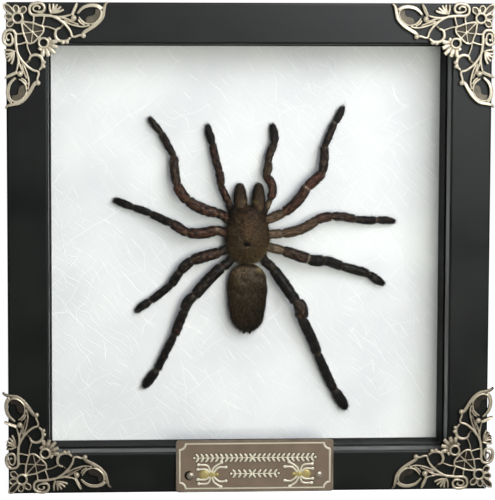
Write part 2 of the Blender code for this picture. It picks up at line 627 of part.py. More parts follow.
abdomen = place("abdomen", body_mesh(ABDOMEN_HALF, ABDOMEN_ALONG, ABDOMEN_HEIGHT, abdomen_shape), BODY)
cut(abdomen, room)
tail = ABDOMEN_ALONG - ABDOMEN_HALF[1]
for side, sign in (("left", -1), ("right", 1)):
    points = [on_paper(sign * a * MM, tail + b * MM, 4.2 * MM) for a, b in ((0.9, 3), (1.1, 0.4), (1.4, -1.3))]
    finger = hidden_cutter(f"spinneret_{side}", tube(points, (1.0, 0.9, 0.4)))
    grown = abdomen.modifiers.new("spinneret", "BOOLEAN")
    grown.operation = "UNION"
    grown.solver = "EXACT"
    grown.object = finger

# Jaws
for side, sign in (("left", -1), ("right", 1)):
    toe = math.sin(math.radians(CHELICERA_TOE_OUT))
    front = CARAPACE_ALONG + CARAPACE_HALF[1]
    stations = [(-0.25, 0.85), (0.0, 0.98), (0.25, 1.0), (0.55, 0.87), (0.82, 0.63), (0.96, 0.38)]
    points = [on_paper(CHELICERA_MIDDLE + sign * (CHELICERA_APART + toe * t * CHELICERA_LENGTH),
                       front + t * CHELICERA_LENGTH, (6.6 - 2.2 * t) * MM) for t, swell in stations]
    jaw = place(f"chelicera_{side}", tube(points, [CHELICERA_RADIUS / MM * s for t, s in stations], roundness=3), BODY)
    cut(jaw, room)


# Legs and palps
def limb(name, start, segments):
    """One limb from its root under the carapace to its tip, pinched at each joint."""
    here = Vector(start)
    towards = Vector((0, CARAPACE_ALONG / MM, here.z))
    points, widths = [here.lerp(towards, 0.3)], [segments[0][3] * 0.9]
    last = len(segments) - 1
    for number, (length, heading, height, radius, bow) in enumerate(segments):
        turn = math.radians(heading)
        there = Vector((here.x + length * math.cos(turn), here.y + length * math.sin(turn), height))
        leftwards = Vector((-math.sin(turn), math.cos(turn), 0))
        share = [(0.1, 0.86), (0.5, 1.0), (0.88, 0.88)] if number else [(0.0, 0.95), (0.6, 1.0)]
        for along, swell in share:
            points.append(here.lerp(there, along) + leftwards * bow * 4 * along * (1 - along))
            widths.append(radius * swell)
        here = there
        if number < last:
            points.append(there.copy())
            widths.append(min(radius, segments[number + 1][3]) * 0.78)
    points.append(here)
    widths.append(segments[last][3] * 0.45)
    path = [on_paper(p.x * MM, p.y * MM, p.z * MM) for p in points]
    made = place(name, tube(path, widths), LIMB)
    cut(made, room)


for name, (start, segments) in LIMBS.items():
    limb(name, start, segments)
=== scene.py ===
import math

import bpy
import numpy as np
from mathutils import Matrix, Vector, noise


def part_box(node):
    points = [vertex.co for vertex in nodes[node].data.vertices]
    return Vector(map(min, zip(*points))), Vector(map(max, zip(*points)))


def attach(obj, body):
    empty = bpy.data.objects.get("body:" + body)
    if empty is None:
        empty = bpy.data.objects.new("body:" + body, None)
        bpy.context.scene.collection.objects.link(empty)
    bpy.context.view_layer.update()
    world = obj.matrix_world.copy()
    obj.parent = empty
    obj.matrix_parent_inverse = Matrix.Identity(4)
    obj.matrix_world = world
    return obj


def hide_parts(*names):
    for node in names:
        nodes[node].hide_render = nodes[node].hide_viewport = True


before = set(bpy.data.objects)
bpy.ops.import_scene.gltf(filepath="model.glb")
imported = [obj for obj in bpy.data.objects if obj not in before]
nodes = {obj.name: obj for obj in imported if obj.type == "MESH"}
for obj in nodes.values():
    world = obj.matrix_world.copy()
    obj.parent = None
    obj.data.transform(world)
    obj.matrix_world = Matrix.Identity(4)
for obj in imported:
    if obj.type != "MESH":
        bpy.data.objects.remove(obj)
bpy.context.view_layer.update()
mm = 0.001

# the places that everything else hangs on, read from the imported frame
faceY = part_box("rail_top")[0].y
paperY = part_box("mount_board")[0].y
frameLeft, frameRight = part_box("rail_left")[0].x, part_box("rail_right")[1].x
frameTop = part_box("rail_top")[1].z
middleZ = frameTop / 2
print("frame loaded:", len(nodes), "nodes")


# small helpers

def linear(hexColour):
    # sRGB hex to the linear colour that Blender's sockets take
    parts = [int(hexColour[i:i + 2], 16) / 255 for i in (1, 3, 5)]
    return [c / 12.92 if c <= 0.04045 else ((c + 0.055) / 1.055) ** 2.4 for c in parts] + [1]


def feed(tree, node, inputs):
    # sets a node's inputs: a node or one of its sockets is linked, and anything else is the value
    for name, value in inputs.items():
        if isinstance(value, bpy.types.Node):
            value = next(socket for socket in value.outputs if socket.enabled)
        if isinstance(value, bpy.types.NodeSocket):
            tree.links.new(value, node.inputs[name])
        else:
            node.inputs[name].default_value = value


def addNode(tree, kind, inputs=None, stops=None, **settings):
    # one shader node: its settings, its input values or links, and a ramp's stops
    node = tree.nodes.new("ShaderNode" + kind)
    for name, value in settings.items():
        setattr(node, name, value)
    feed(tree, node, inputs or {})
    if stops:
        elements = node.color_ramp.elements
        for place in [place for place, colour in stops][2:]:
            elements.new(place)
        for element, (place, colour) in zip(elements, stops):
            element.position = place
            element.color = colour
    return node


def newMaterial(name, roughness, metallic=0.0, **constants):
    # a material with its shader, and the constants set on the shader's own sockets
    made = bpy.data.materials.new(name)
    made.use_nodes = True
    shader = made.node_tree.nodes["Principled BSDF"]
    constants = {"Roughness": roughness, "Metallic": metallic, **constants}
    feed(made.node_tree, shader, {name.replace("_", " "): value for name, value in constants.items()})
    return made, made.node_tree, shader


def speckled(name, roughness, scale, detail, stops, bump=0.0, metallic=0.0, **constants):
    # a plain finish whose colour wanders a little, with a faint relief where it has one
    made, tree, shader = newMaterial(name, roughness, metallic, **constants)
    where = addNode(tree, "TexCoord")
    fine = addNode(tree, "TexNoise", {"Vector": where.outputs["Object"], "Scale": scale, "Detail": detail})
    colour = addNode(tree, "ValToRGB", {"Fac": fine},
                     stops=[(place, linear(hexColour)) for place, hexColour in stops])
    feed(tree, shader, {"Base Color": colour})
    if bump:
        relief = addNode(tree, "Bump", {"Height": fine, "Strength": bump, "Distance": 0.05 * mm})
        feed(tree, shader, {"Normal": relief})
    return made


def dress(piece, material):
    # the piece wears this material only
    piece.data.materials.clear()
    piece.data.materials.append(material)


def pick(*objects):
    # only these are selected, and the last one is active
    bpy.ops.object.select_all(action="DESELECT")
    for obj in objects:
        obj.select_set(True)
    bpy.context.view_layer.objects.active = objects[-1]


def applyModifier(obj, kind, **settings):
    # adds a modifier with its settings and applies it
    pick(obj)
    bpy.ops.object.modifier_add(type=kind)
    modifier = obj.modifiers[-1]
    for name, value in settings.items():
        setattr(modifier, name, value)
    bpy.ops.object.modifier_apply(modifier=modifier.name)


def joinAll(objects, name):
    # several meshes made one, smooth shaded
    pick(*objects)
    if len(objects) > 1:
        bpy.ops.object.join()
    joined = bpy.context.view_layer.objects.active
    joined.name = joined.data.name = name
    return joined


def drawLine(points):
    # a line drawn by hand: one vertex, extruded from point to point
    bpy.ops.object.select_all(action="DESELECT")
    bpy.ops.mesh.primitive_plane_add(size=mm, location=points[0])
    line = bpy.context.active_object
    bpy.ops.object.transform_apply(location=True)
    bpy.ops.object.mode_set(mode="EDIT")
    bpy.ops.mesh.select_all(action="SELECT")
    bpy.ops.mesh.merge(type="CENTER")
    for here, there in zip(points, points[1:]):
        step = Vector(there) - Vector(here)
        bpy.ops.mesh.extrude_region_move(TRANSFORM_OT_translate={"value": step})
    bpy.ops.object.mode_set(mode="OBJECT")
    return line


def tubeAlong(points, radius, widths=None, sides=2):
    # a line made a round tube: radius times each point's own share
    line = drawLine(points)
    pick(line)
    bpy.ops.object.convert(target="CURVE")
    tube = bpy.context.active_object
    tube.data.bevel_depth = radius
    tube.data.bevel_resolution = sides
    tube.data.use_fill_caps = True
    ordered = tube.data.splines[0].points
    forwards = (ordered[0].co.xyz - Vector(points[0])).length < 1e-7
    if widths:
        for point, share in zip(ordered, widths if forwards else reversed(widths)):
            point.radius = share
    bpy.ops.object.convert(target="MESH")
    tube = bpy.context.active_object
    bpy.ops.object.mode_set(mode="EDIT")
    bpy.ops.mesh.select_all(action="SELECT")
    bpy.ops.mesh.remove_doubles(threshold=0.002 * mm)
    bpy.ops.mesh.normals_make_consistent(inside=False)
    bpy.ops.object.mode_set(mode="OBJECT")
    return tube


def plateFrom(points, top):
    # a closed outline in mm, filled, then pulled up to a height in mm
    outline = drawLine([(x * mm, y * mm, 0) for x, y in points])
    bpy.ops.object.mode_set(mode="EDIT")
    bpy.ops.mesh.select_all(action="SELECT")
    bpy.ops.mesh.edge_face_add()
    bpy.ops.mesh.extrude_region_move(TRANSFORM_OT_translate={"value": (0, 0, top * mm)})
    bpy.ops.mesh.select_all(action="SELECT")
    bpy.ops.mesh.normals_make_consistent(inside=False)
    bpy.ops.object.mode_set(mode="OBJECT")
    return outline


def vertexArray(obj):
    # every vertex of a mesh, as rows
    flat = np.empty(len(obj.data.vertices) * 3)
    obj.data.vertices.foreach_get("co", flat)
    return flat.reshape(-1, 3)


def ball(name, segments, rings):
    # a ball of radius 1. Blender gives its points another order each run, and the hairs that are scattered
    # on it would follow, so they are put ring by ring here, each on its exact place.
    bpy.ops.object.select_all(action="DESELECT")
    bpy.ops.mesh.primitive_uv_sphere_add(segments=segments, ring_count=rings, radius=1, location=(0, 0, 0))
    made = bpy.context.active_object
    made.name = made.data.name = name
    places = vertexArray(made)
    ring = np.round(np.arccos(np.clip(places[:, 2], -1, 1)) * rings / math.pi)
    turn = np.round(np.arctan2(places[:, 1], places[:, 0]) * segments / math.tau) % segments
    turn[(ring == 0) | (ring == rings)] = 0
    order = np.lexsort((turn, ring))
    rank = np.argsort(order)
    down, around = ring[order] * math.pi / rings, turn[order] * math.tau / segments
    exact = np.stack([np.sin(down) * np.cos(around), np.sin(down) * np.sin(around), np.cos(down)], 1)
    faces = []
    for face in made.data.polygons:
        corners = [int(rank[v]) for v in face.vertices]
        first = corners.index(min(corners))
        faces.append(corners[first:] + corners[:first])
    made.data.clear_geometry()
    made.data.from_pydata(exact, [], sorted(faces))
    return made


def softLine(points, perSpan):
    # more points, on a smooth curve through the given ones
    ends = [points[0], *points, points[-1]]
    line = []
    for p0, p1, p2, p3 in zip(ends, ends[1:], ends[2:], ends[3:]):
        for i in range(perSpan):
            t = i / perSpan
            line.append(tuple(0.5 * (2 * b + (c - a) * t + (2 * a - 5 * b + 4 * c - d) * t * t
                                     + (3 * b - a - 3 * c + d) * t ** 3)
                              for a, b, c, d in zip(p0, p1, p2, p3)))
    return line + [tuple(points[-1])]


# Camera, at the photograph's angle: a little left of the middle and above it
view = {"x": -58.6 * mm, "y": -754.6 * mm, "z": 179.3 * mm, "tilt": 85.9, "roll": -0.09, "turn": -2.84,
        "lens": 129.9, "shiftX": 0.1, "shiftY": -0.12}
bpy.ops.object.camera_add(location=(view["x"], view["y"], view["z"]),
                          rotation=[math.radians(view[way]) for way in ("tilt", "roll", "turn")])
camera = bpy.context.active_object
camera.data.lens = view["lens"]
camera.data.shift_x, camera.data.shift_y = view["shiftX"], view["shiftY"]
camera.data.clip_start, camera.data.clip_end = 0.01, 50
bpy.context.scene.camera = camera
bpy.context.scene.view_settings.view_transform = "Standard"

# Studio: a white floor that ends in a white room, and soft lamps in front
studio = {"roomSeen": "#ffffff", "roomColour": "#f4f6ff", "roomLight": 0.055, "floorSize": 12,
          "floorGlow": 0.95}
lamps = {"key": {"at": (0.351, -0.775, 0.49), "size": 0.58, "watts": 4.3, "colour": "#fafaff",
                 "glossy": True},
         "fill": {"at": (-0.50, -0.75, 0.30), "size": 0.5, "watts": 0.12, "colour": "#eef3ff",
                  "glossy": False},
         "low": {"at": (0.13, -0.74, 0.09), "size": 0.3, "watts": 3.9, "colour": "#fffff2",
                 "glossy": False}}
for name, lamp in lamps.items():
    towards = Vector((0, faceY, middleZ)) - Vector(lamp["at"])
    bpy.ops.object.light_add(type="AREA", location=lamp["at"],
                             rotation=towards.to_track_quat("-Z", "Y").to_euler())
    light = bpy.context.active_object
    light.name = name + "_lamp"
    light.data.shape = "DISK"
    light.data.size = lamp["size"]
    light.data.energy = lamp["watts"]
    light.data.color = linear(lamp["colour"])[:3]
    light.visible_glossy = light.visible_transmission = lamp["glossy"]  # the low one stays out of the glass

world = bpy.data.worlds.new("white_room")
bpy.context.scene.world = world
world.use_nodes = True
room = world.node_tree
backdrop = room.nodes["Background"]
rays = addNode(room, "LightPath")
seenWhite = addNode(room, "Background", {"Color": linear(studio["roomSeen"]), "Strength": 1.0})
feed(room, backdrop, {"Color": linear(studio["roomColour"]), "Strength": studio["roomLight"]})
either = addNode(room, "MixShader", {0: rays.outputs["Is Camera Ray"], 1: backdrop, 2: seenWhite})
feed(room, room.nodes["World Output"], {"Surface": either})

bpy.ops.object.select_all(action="DESELECT")
bpy.ops.mesh.primitive_plane_add(size=studio["floorSize"], location=(0, 0, 0))
floor = bpy.context.active_object
floor.name = "studio_floor"
floorPaint, tree, shader = newMaterial("white_painted_floor", 0.9)
grain = addNode(tree, "TexNoise", {"Scale": 40.0, "Detail": 2.0})
tint = addNode(tree, "ValToRGB", {"Fac": grain}, stops=[(0.3, linear("#fbfbfb")), (0.7, linear("#ffffff"))])
feed(tree, shader, {"Base Color": tint, "Emission Color": linear("#ffffff"),
                    "Emission Strength": studio["floorGlow"]})
dress(floor, floorPaint)
floor.visible_diffuse = floor.visible_glossy = floor.visible_transmission = False  # no haze in the glass
print("camera, lamps and floor ready")


# Materials of the frame

def paintedWood(name, grainAlong):
    # satin black enamel brushed on a planed softwood moulding: brush lines and grain run along it
    look = {"colour": "#0b0e0b", "worn": "#131711", "lineSpacing": 0.9, "roughness": 0.4}
    made, tree, shader = newMaterial(name, look["roughness"], IOR=1.65)
    where = addNode(tree, "TexCoord")
    cross = 1 / (look["lineSpacing"] * mm)
    scale = (cross * 0.03, cross, cross) if grainAlong == "x" else (cross, cross, cross * 0.03)
    stretched = addNode(tree, "Mapping", {"Vector": where.outputs["Object"], "Scale": scale})
    lines = addNode(tree, "TexNoise", {"Vector": stretched, "Scale": 1.0, "Detail": 4.0, "Roughness": 0.6})
    clouds = addNode(tree, "TexNoise", {"Vector": where.outputs["Object"], "Scale": 45.0, "Detail": 3.0})
    both = addNode(tree, "Math", {0: lines, 1: clouds}, operation="MULTIPLY")
    colour = addNode(tree, "ValToRGB", {"Fac": both},
                     stops=[(0.12, linear(look["colour"])), (0.45, linear(look["worn"]))])
    gloss = addNode(tree, "MapRange", {"Value": clouds, "From Min": 0.3, "From Max": 0.7,
                                       "To Min": look["roughness"] - 0.05,
                                       "To Max": look["roughness"] + 0.08})
    bump = addNode(tree, "Bump", {"Height": lines, "Strength": 0.25, "Distance": 0.05 * mm})
    feed(tree, shader, {"Base Color": colour, "Roughness": gloss, "Normal": bump})
    return made


enamelAcross = paintedWood("satin_black_enamel_on_wood_across", "x")
enamelUpright = paintedWood("satin_black_enamel_on_wood_upright", "z")
for name in ("rail_top", "rail_bottom"):
    dress(nodes[name], enamelAcross)
for name in ("rail_left", "rail_right"):
    dress(nodes[name], enamelUpright)

# float glass, polished: clear, and its lamps reach the spider because it throws no shadow
clearGlass, tree, shader = newMaterial("clear_float_glass", 0.0, IOR=1.5, Transmission_Weight=1.0)
feed(tree, shader, {"Base Color": linear("#fdfffe")})
dress(nodes["glass"], clearGlass)
nodes["glass"].visible_shadow = False

# black dyed card strips: matt, with a faint fibre
blackCard = speckled("black_dyed_card", 0.8, 900.0, 3.0, [(0.3, "#0c0d0b"), (0.7, "#141513")], bump=0.2,
                     Specular_IOR_Level=0.15)
for side in ("top", "bottom", "left", "right"):
    dress(nodes["spacer_" + side], blackCard)


def embossedPaper():
    # white leather-grain paper, embossed between rollers: long thin creases, most of them one way
    look = {"colour": "#ecedee", "crease": "#ffffff", "shade": "#dfe0e3", "relief": 0.12, "bend": 9,
            "creases": [(46, 1.7, 0.08, 0.12, 0.3), (53, 3.4, 0.11, 0.1, 0.55), (37, 5.1, 0.12, 0.12, 0.6),
                        (-38, 6.3, 0.1, 0.15, 0.5), (-62, 8.7, 0.1, 0.2, 0.55), (8, 9.5, 0.1, 0.15, 0.5)]}
    made, tree, shader = newMaterial("embossed_leather_grain_paper", 0.62)
    where = addNode(tree, "TexCoord")
    wobble = addNode(tree, "TexNoise", {"Vector": where.outputs["Object"], "Scale": 55.0, "Detail": 2.0})
    centred = addNode(tree, "VectorMath", {0: wobble.outputs["Color"], 1: (0.5, 0.5, 0.5)},
                      operation="SUBTRACT")
    bent = addNode(tree, "VectorMath", {0: centred, 1: [look["bend"] * mm] * 3,
                                            2: where.outputs["Object"]}, operation="MULTIPLY_ADD")
    total = None
    for turn, apart, wide, stretch, strength in look["creases"]:
        turned = addNode(tree, "Mapping", {"Vector": bent, "Rotation": (0, math.radians(turn), 0)})
        drawn = addNode(tree, "Mapping", {"Vector": turned, "Scale": (1, 0, stretch)})
        wave = addNode(tree, "TexWave", {"Vector": drawn, "Scale": math.tau / 20 / (apart * mm),
                                         "Distortion": 7.0, "Detail": 1.0, "Detail Scale": 1.0},
                       wave_profile="SAW", bands_direction="X")
        offCrest = addNode(tree, "Math", {0: wave.outputs["Fac"], 1: 0.5}, operation="SUBTRACT")
        gap = addNode(tree, "Math", {0: offCrest}, operation="ABSOLUTE")
        line = addNode(tree, "MapRange", {"Value": gap, "From Max": 2 * wide / apart, "To Min": 1.0,
                                          "To Max": 0.0})
        broken = addNode(tree, "TexNoise", {"Vector": turned, "Scale": 110.0 + turn, "Detail": 1.0})
        kept = addNode(tree, "MapRange", {"Value": broken, "From Min": 0.5, "From Max": 0.6,
                                          "To Max": strength})
        part = addNode(tree, "Math", {0: line, 1: kept}, operation="MULTIPLY")
        total = part if total is None else addNode(tree, "Math", {0: total, 1: part}, operation="MAXIMUM")
    tooth = addNode(tree, "TexNoise", {"Vector": where.outputs["Object"], "Scale": 1400.0, "Detail": 3.0})
    clouds = addNode(tree, "TexNoise", {"Vector": where.outputs["Object"], "Scale": 25.0, "Detail": 2.0})
    base = addNode(tree, "ValToRGB", {"Fac": clouds},
                   stops=[(0.35, linear(look["shade"])), (0.65, linear(look["colour"]))])
    colour = addNode(tree, "Mix", {"Factor": total, "A": base, "B": linear(look["crease"])},
                     data_type="RGBA")
    small = addNode(tree, "Math", {0: tooth, 1: 0.18, 2: total}, operation="MULTIPLY_ADD")
    bump = addNode(tree, "Bump", {"Height": small, "Strength": 0.9, "Distance": look["relief"] * mm})
    feed(tree, shader, {"Base Color": colour, "Normal": bump})
    return made


dress(nodes["mount_board"], embossedPaper())

# hardboard, pressed brown fibres, rough on this side
hardboard, tree, shader = newMaterial("pressed_brown_hardboard", 0.85)
where = addNode(tree, "TexCoord")
weave = addNode(tree, "TexNoise", {"Vector": where.outputs["Object"], "Scale": 700.0, "Detail": 5.0})
patches = addNode(tree, "TexNoise", {"Vector": where.outputs["Object"], "Scale": 30.0, "Detail": 4.0})
mixed = addNode(tree, "Math", {0: weave, 1: patches}, operation="MULTIPLY")
colour = addNode(tree, "ValToRGB", {"Fac": mixed},
                 stops=[(0.12, linear("#5b3f28")), (0.28, linear("#7d5a3b")), (0.42, linear("#96714c"))])
bump = addNode(tree, "Bump", {"Height": weave, "Strength": 0.5, "Distance": 0.15 * mm})
feed(tree, shader, {"Base Color": colour, "Normal": bump})
dress(nodes["back_panel"], hardboard)

# zinc-plated steel, stamped: grey spangle with fine scratches
zinc, tree, shader = newMaterial("zinc_plated_stamped_steel", 0.35, metallic=1.0)
where = addNode(tree, "TexCoord")
spangle = addNode(tree, "TexVoronoi", {"Vector": where.outputs["Object"], "Scale": 700.0})
colour = addNode(tree, "ValToRGB", {"Fac": spangle.outputs["Color"]},
                 stops=[(0.0, linear("#9c9c98")), (1.0, linear("#bdbdb8"))])
gloss = addNode(tree, "MapRange", {"Value": spangle.outputs["Distance"], "From Max": 0.6, "To Min": 0.28,
                                   "To Max": 0.45})
feed(tree, shader, {"Base Color": colour, "Roughness": gloss})
for name in ("sawtooth_hanger", "hanger_nail_left", "hanger_nail_right"):
    dress(nodes[name], zinc)
print("frame finishes on")


def antiqueSilver(name, look):
    # zinc alloy cast in a mould, silver plated, blackened and rubbed: tops bright, hollows nearly black
    made, tree, shader = newMaterial(name, 0.34, metallic=look["metal"])
    where = addNode(tree, "TexCoord")
    place = addNode(tree, "SeparateXYZ", {0: where.outputs["Object"]})
    back = faceY - 0.3 * mm
    height = addNode(tree, "MapRange", {"Value": place.outputs["Y"], "From Min": back - look["low"] * mm,
                                        "From Max": back - look["high"] * mm})
    blotch = addNode(tree, "TexNoise", {"Vector": where.outputs["Object"], "Scale": 420.0, "Detail": 3.0})
    jitter = addNode(tree, "MapRange", {"Value": blotch, "To Min": -0.16, "To Max": 0.16})
    rubbed = addNode(tree, "Math", {0: height, 1: jitter}, operation="ADD", use_clamp=True)
    colour = addNode(tree, "ValToRGB", {"Fac": rubbed},
                     stops=[(0.02, linear(look["dark"])), (0.3, linear(look["hollow"])),
                            (0.64, linear(look["edge"])), (0.84, linear(look["worn"])),
                            (0.97, linear(look["rubbed"]))])
    gloss = addNode(tree, "MapRange", {"Value": rubbed, "To Min": 0.65, "To Max": 0.3})
    bump = addNode(tree, "Bump", {"Height": blotch, "Strength": 0.3, "Distance": 0.1 * mm})
    feed(tree, shader, {"Base Color": colour, "Roughness": gloss, "Normal": bump})
    return made


# Filigree corners. Plan in mm from the corner's point: along one arm, then along the other.
# Each strip has its line, its width, its height and its width at the two ends, and is drawn again
# across the diagonal.
filigree = {
    "places": {"top_left": (1.9, 0.3, 1.0), "top_right": (1.5, 0.6, 0.0),
               "bottom_left": (1.2, 0.32, 3.0), "bottom_right": (2.95, 0.0, 0.0)},
    "lift": 0.3, "voxel": 0.15, "backing": 0.7, "facesKept": 0.36,
    "strips": {
        "volute": ([(20.4, 6.2), (16.8, 5.8), (13.5, 5.75), (12.0, 5.0), (11.6, 3.85), (11.7, 2.5),
                    (12.7, 1.35), (14.7, 0.8), (16.4, 1.0), (17.5, 2.0), (17.7, 3.35), (16.8, 4.4),
                    (14.9, 4.45)], 1.26, 1.65, 1, 0.9),
        "curl": ([(15.4, 4.5), (14.3, 4.3), (13.3, 3.85), (13.05, 2.95), (13.7, 2.2), (15.0, 2.05),
                  (15.9, 2.7), (15.3, 3.2)], 0.83, 1.6, 1, 1),
        "stem": ([(14.5, 5.75), (17.5, 5.85), (20.4, 6.2), (23.2, 7.5), (25.6, 9.4), (27.2, 11.2),
                  (28.2, 12.9), (28.5, 14.4)], 1.15, 1.65, 1, 0.9),
        "twig": ([(19.5, 6.05), (23.7, 6.6), (26.7, 6.25), (28.9, 5.6)], 0.92, 1.6, 1, 0.8),
        "lower twig": ([(22.6, 6.55), (26.5, 7.4), (28.8, 8.3)], 0.8, 1.55, 1, 0.8),
        "leaf upper": ([(25.6, 7.9), (28.4, 8.65), (31.6, 9.8)], 0.69, 1.5, 0.7, 0.8),
        "long leaf": ([(24.4, 7.9), (27.9, 9.6), (30.7, 10.4), (33.3, 10.75), (35.9, 10.2)], 0.86, 1.6,
                      0.7, 0.8),
        "fan low": ([(20.6, 5.1), (23.4, 4.6), (25.5, 3.7)], 1.05, 1.6, 0.5, 1),
        "fan second": ([(20.6, 5.1), (22.9, 3.7), (24.4, 2.4)], 1.0, 1.6, 0.5, 1),
        "fan third": ([(20.6, 5.1), (22.0, 3.2), (22.9, 1.5)], 1.0, 1.6, 0.5, 1),
        "fan fourth": ([(20.6, 5.1), (21.2, 3.0), (21.35, 1.2)], 0.95, 1.6, 0.5, 1),
        "fan top": ([(20.4, 5.3), (19.8, 3.4), (19.75, 1.1)], 1.0, 1.6, 0.7, 0.8),
        "finger": ([(28.9, 5.9), (30.0, 3.3), (31.1, 1.0)], 1.44, 1.65, 0.9, 0.55),
        "finger crest": ([(28.6, 5.6), (29.6, 3.2), (30.8, 0.95)], 0.47, 1.85, 1, 0.5),
        "loop": ([(31.0, 5.4), (32.9, 3.3), (35.0, 2.35), (37.4, 2.05), (39.6, 2.5), (41.0, 3.6)], 1.55,
                 1.65, 0.6, 1),
        "loop inner": ([(31.3, 5.5), (33.1, 3.75), (35.1, 2.85), (37.4, 2.6), (39.4, 3.1), (40.5, 4.2),
                        (40.6, 5.6), (39.9, 7.4), (38.4, 8.9), (36.8, 9.6), (35.0, 9.6)], 0.53, 1.8, 0.6,
                        0.7),
        "rim": ([(43.4, 0.95), (42.3, 2.1), (41.8, 4.2), (41.3, 6.5), (39.9, 8.5), (37.9, 10.3),
                 (35.8, 11.7), (33.9, 12.8), (32.9, 13.9)], 1.84, 1.6, 0.45, 0.8),
        "rim crest": ([(42.6, 2.3), (42.2, 4.3), (41.6, 6.8), (40.2, 8.9), (38.2, 10.7), (36.0, 12.1),
                       (34.0, 13.3)], 0.45, 1.8, 0.8, 0.8),
        "rim foot": ([(33.3, 14.2), (31.5, 14.2), (29.8, 14.8), (28.4, 14.6)], 1.03, 1.6, 0.9, 1),
        "inner leaf": ([(31.6, 6.7), (32.5, 8.1), (34.0, 9.3), (35.6, 9.6)], 0.8, 1.75, 0.6, 0.8),
        "inner leaf low": ([(31.2, 7.7), (32.1, 9.1), (33.8, 10.1)], 0.69, 1.6, 0.8, 0.8),
        "hook": ([(24.0, 11.1), (22.6, 11.6), (21.9, 13.0), (22.0, 14.6), (23.1, 16.1), (25.0, 16.5),
                  (26.8, 16.1), (28.0, 15.0)], 1.38, 1.65, 0.7, 0.7),
        "leaf tip": ([(25.3, 9.4), (24.6, 10.4), (23.7, 11.2)], 1.15, 1.2, 0.7, 0.9),
        "link": ([(16.8, 10.3), (19.1, 10.6), (21.9, 11.7)], 0.72, 1.55, 1, 1),
        "grid far": ([(17.5, 6.0), (17.4, 7.4), (16.7, 9.8)], 0.75, 1.6, 1, 1),
        "grid near": ([(13.2, 5.8), (13.3, 7.5), (12.9, 8.9)], 0.75, 1.6, 1, 1),
        "web edge": ([(8.8, 8.3), (10.9, 8.6), (13.1, 9.0), (14.9, 9.7), (16.7, 10.4), (17.2, 11.6),
                      (16.8, 12.9), (15.7, 14.2), (15.0, 15.0)], 0.85, 1.65, 1, 1),
        "web spoke": ([(12.7, 12.7), (13.05, 9.0)], 0.5, 1.55, 1, 1),
        "web far spoke": ([(12.7, 12.7), (16.9, 12.0)], 0.5, 1.55, 1, 1)},
    "onDiagonal": ([(8.3, 8.3), (15.5, 15.5)], 0.6, 1.6, 1, 1),
    "webPlate": [(8.6, 8.6), (13.1, 9.0), (16.7, 10.4), (17.2, 11.6), (16.8, 12.9), (15.2, 15.2),
                 (12.9, 16.8), (11.6, 17.2), (10.4, 16.7), (9.0, 13.1)],
    "plates": [([(38.3, 3.5), (39.4, 3.7), (40.3, 4.6), (40.3, 5.7), (39.6, 7.3), (38.2, 8.6), (36.6, 9.3),
                 (35.0, 9.2), (34.1, 8.4), (34.4, 7.3), (35.2, 6.6), (36.5, 6.3), (37.6, 6.1),
                 (38.1, 5.2)], 0.95),
               ([(31.6, 7.0), (32.8, 8.6), (34.4, 9.8), (33.6, 10.3), (32.0, 9.4), (31.1, 8.0)], 0.8),
               ([(20.5, 5.4), (19.5, 1.6), (21.4, 1.3), (22.8, 1.8), (24.2, 2.6), (25.3, 3.8),
                 (23.4, 5.0)], 0.6),
               ([(24.8, 8.0), (28.3, 8.7), (31.5, 9.9), (33.0, 10.6), (30.7, 10.3), (27.9, 9.5)], 0.8)],
    "balls": [((29.5, 7.2), 1.25, 2.2), ((33.3, 14.4), 1.1, 2.05), ((26.6, 16.9), 0.85, 1.9),
              ((24.9, 17.1), 0.8, 1.9)],
    "rings": [((6.75, 6.75), 2.02, 0.98), ((17.0, 17.0), 1.9, 0.9)],
    "flower": [(-99, 5.5), (-54, 5.7), (-135, 8.0)], "flowerWide": 2.85, "middleWide": 2.9,
    "shell": [(0, 7.5), (25, 7.0), (50, 6.6), (76, 4.5)], "shellWide": 2.3}


def strip(points, width, height, first=1.0, last=1.0):
    # a cast strip: upright sides, a flattened round top, and ends that may narrow
    radius = width / 2 * mm
    soft = softLine(points, 4) if len(points) > 2 else points
    end = len(soft) - 1
    widths = [min(1, first + (1 - first) * i / end * 2.5, last + (1 - last) * (end - i) / end * 2.5)
              for i in range(end + 1)]
    piece = tubeAlong([(x * mm, y * mm, 0) for x, y in soft], radius, widths, sides=3)
    flat = min(1.0, 0.4 * mm / radius)
    for vert in piece.data.vertices:
        vert.co.z = height * mm - (radius - vert.co.z) * flat if vert.co.z > -0.02 * radius else 0
    return piece


def petal(centre, heading, length, width, firstRadius):
    # a hollow petal: a floor with a raised edge all round it
    turn = math.radians(heading)
    ahead, root = Vector((math.cos(turn), math.sin(turn))), Vector(centre)
    across = Vector((-ahead.y, ahead.x))
    swell = [(0.0, 0.42), (0.3, 0.75), (0.55, 1.0), (0.78, 0.85), (0.92, 0.45), (1.0, 0.0)]
    inset = 0.3
    reach, half = length - firstRadius - inset, width / 2 - inset
    right, left = [[tuple(root + ahead * (firstRadius + s * reach) + across * side * w * half)
                    for s, w in swell] for side in (1, -1)]
    outline = right + left[-2::-1]
    edge = strip([*outline, outline[0]], 0.7, 1.6)
    return [edge, plateFrom(outline, 0.8)]


def lobe(centre, heading, length, width, firstRadius):
    # a shell's rib: narrow at the ring, then a fat round end
    turn = math.radians(heading)
    ahead = Vector((math.cos(turn), math.sin(turn)))
    root = Vector(centre)
    reach = length - firstRadius - width * 0.45
    line = [tuple(root + ahead * (firstRadius + s * reach)) for s in (0, 0.5, 1.0)]
    return [strip(line, width * 0.78, 1.5, 0.35, 0.9), strip(line[1:], width, 1.7, 0.75, 0.75)]


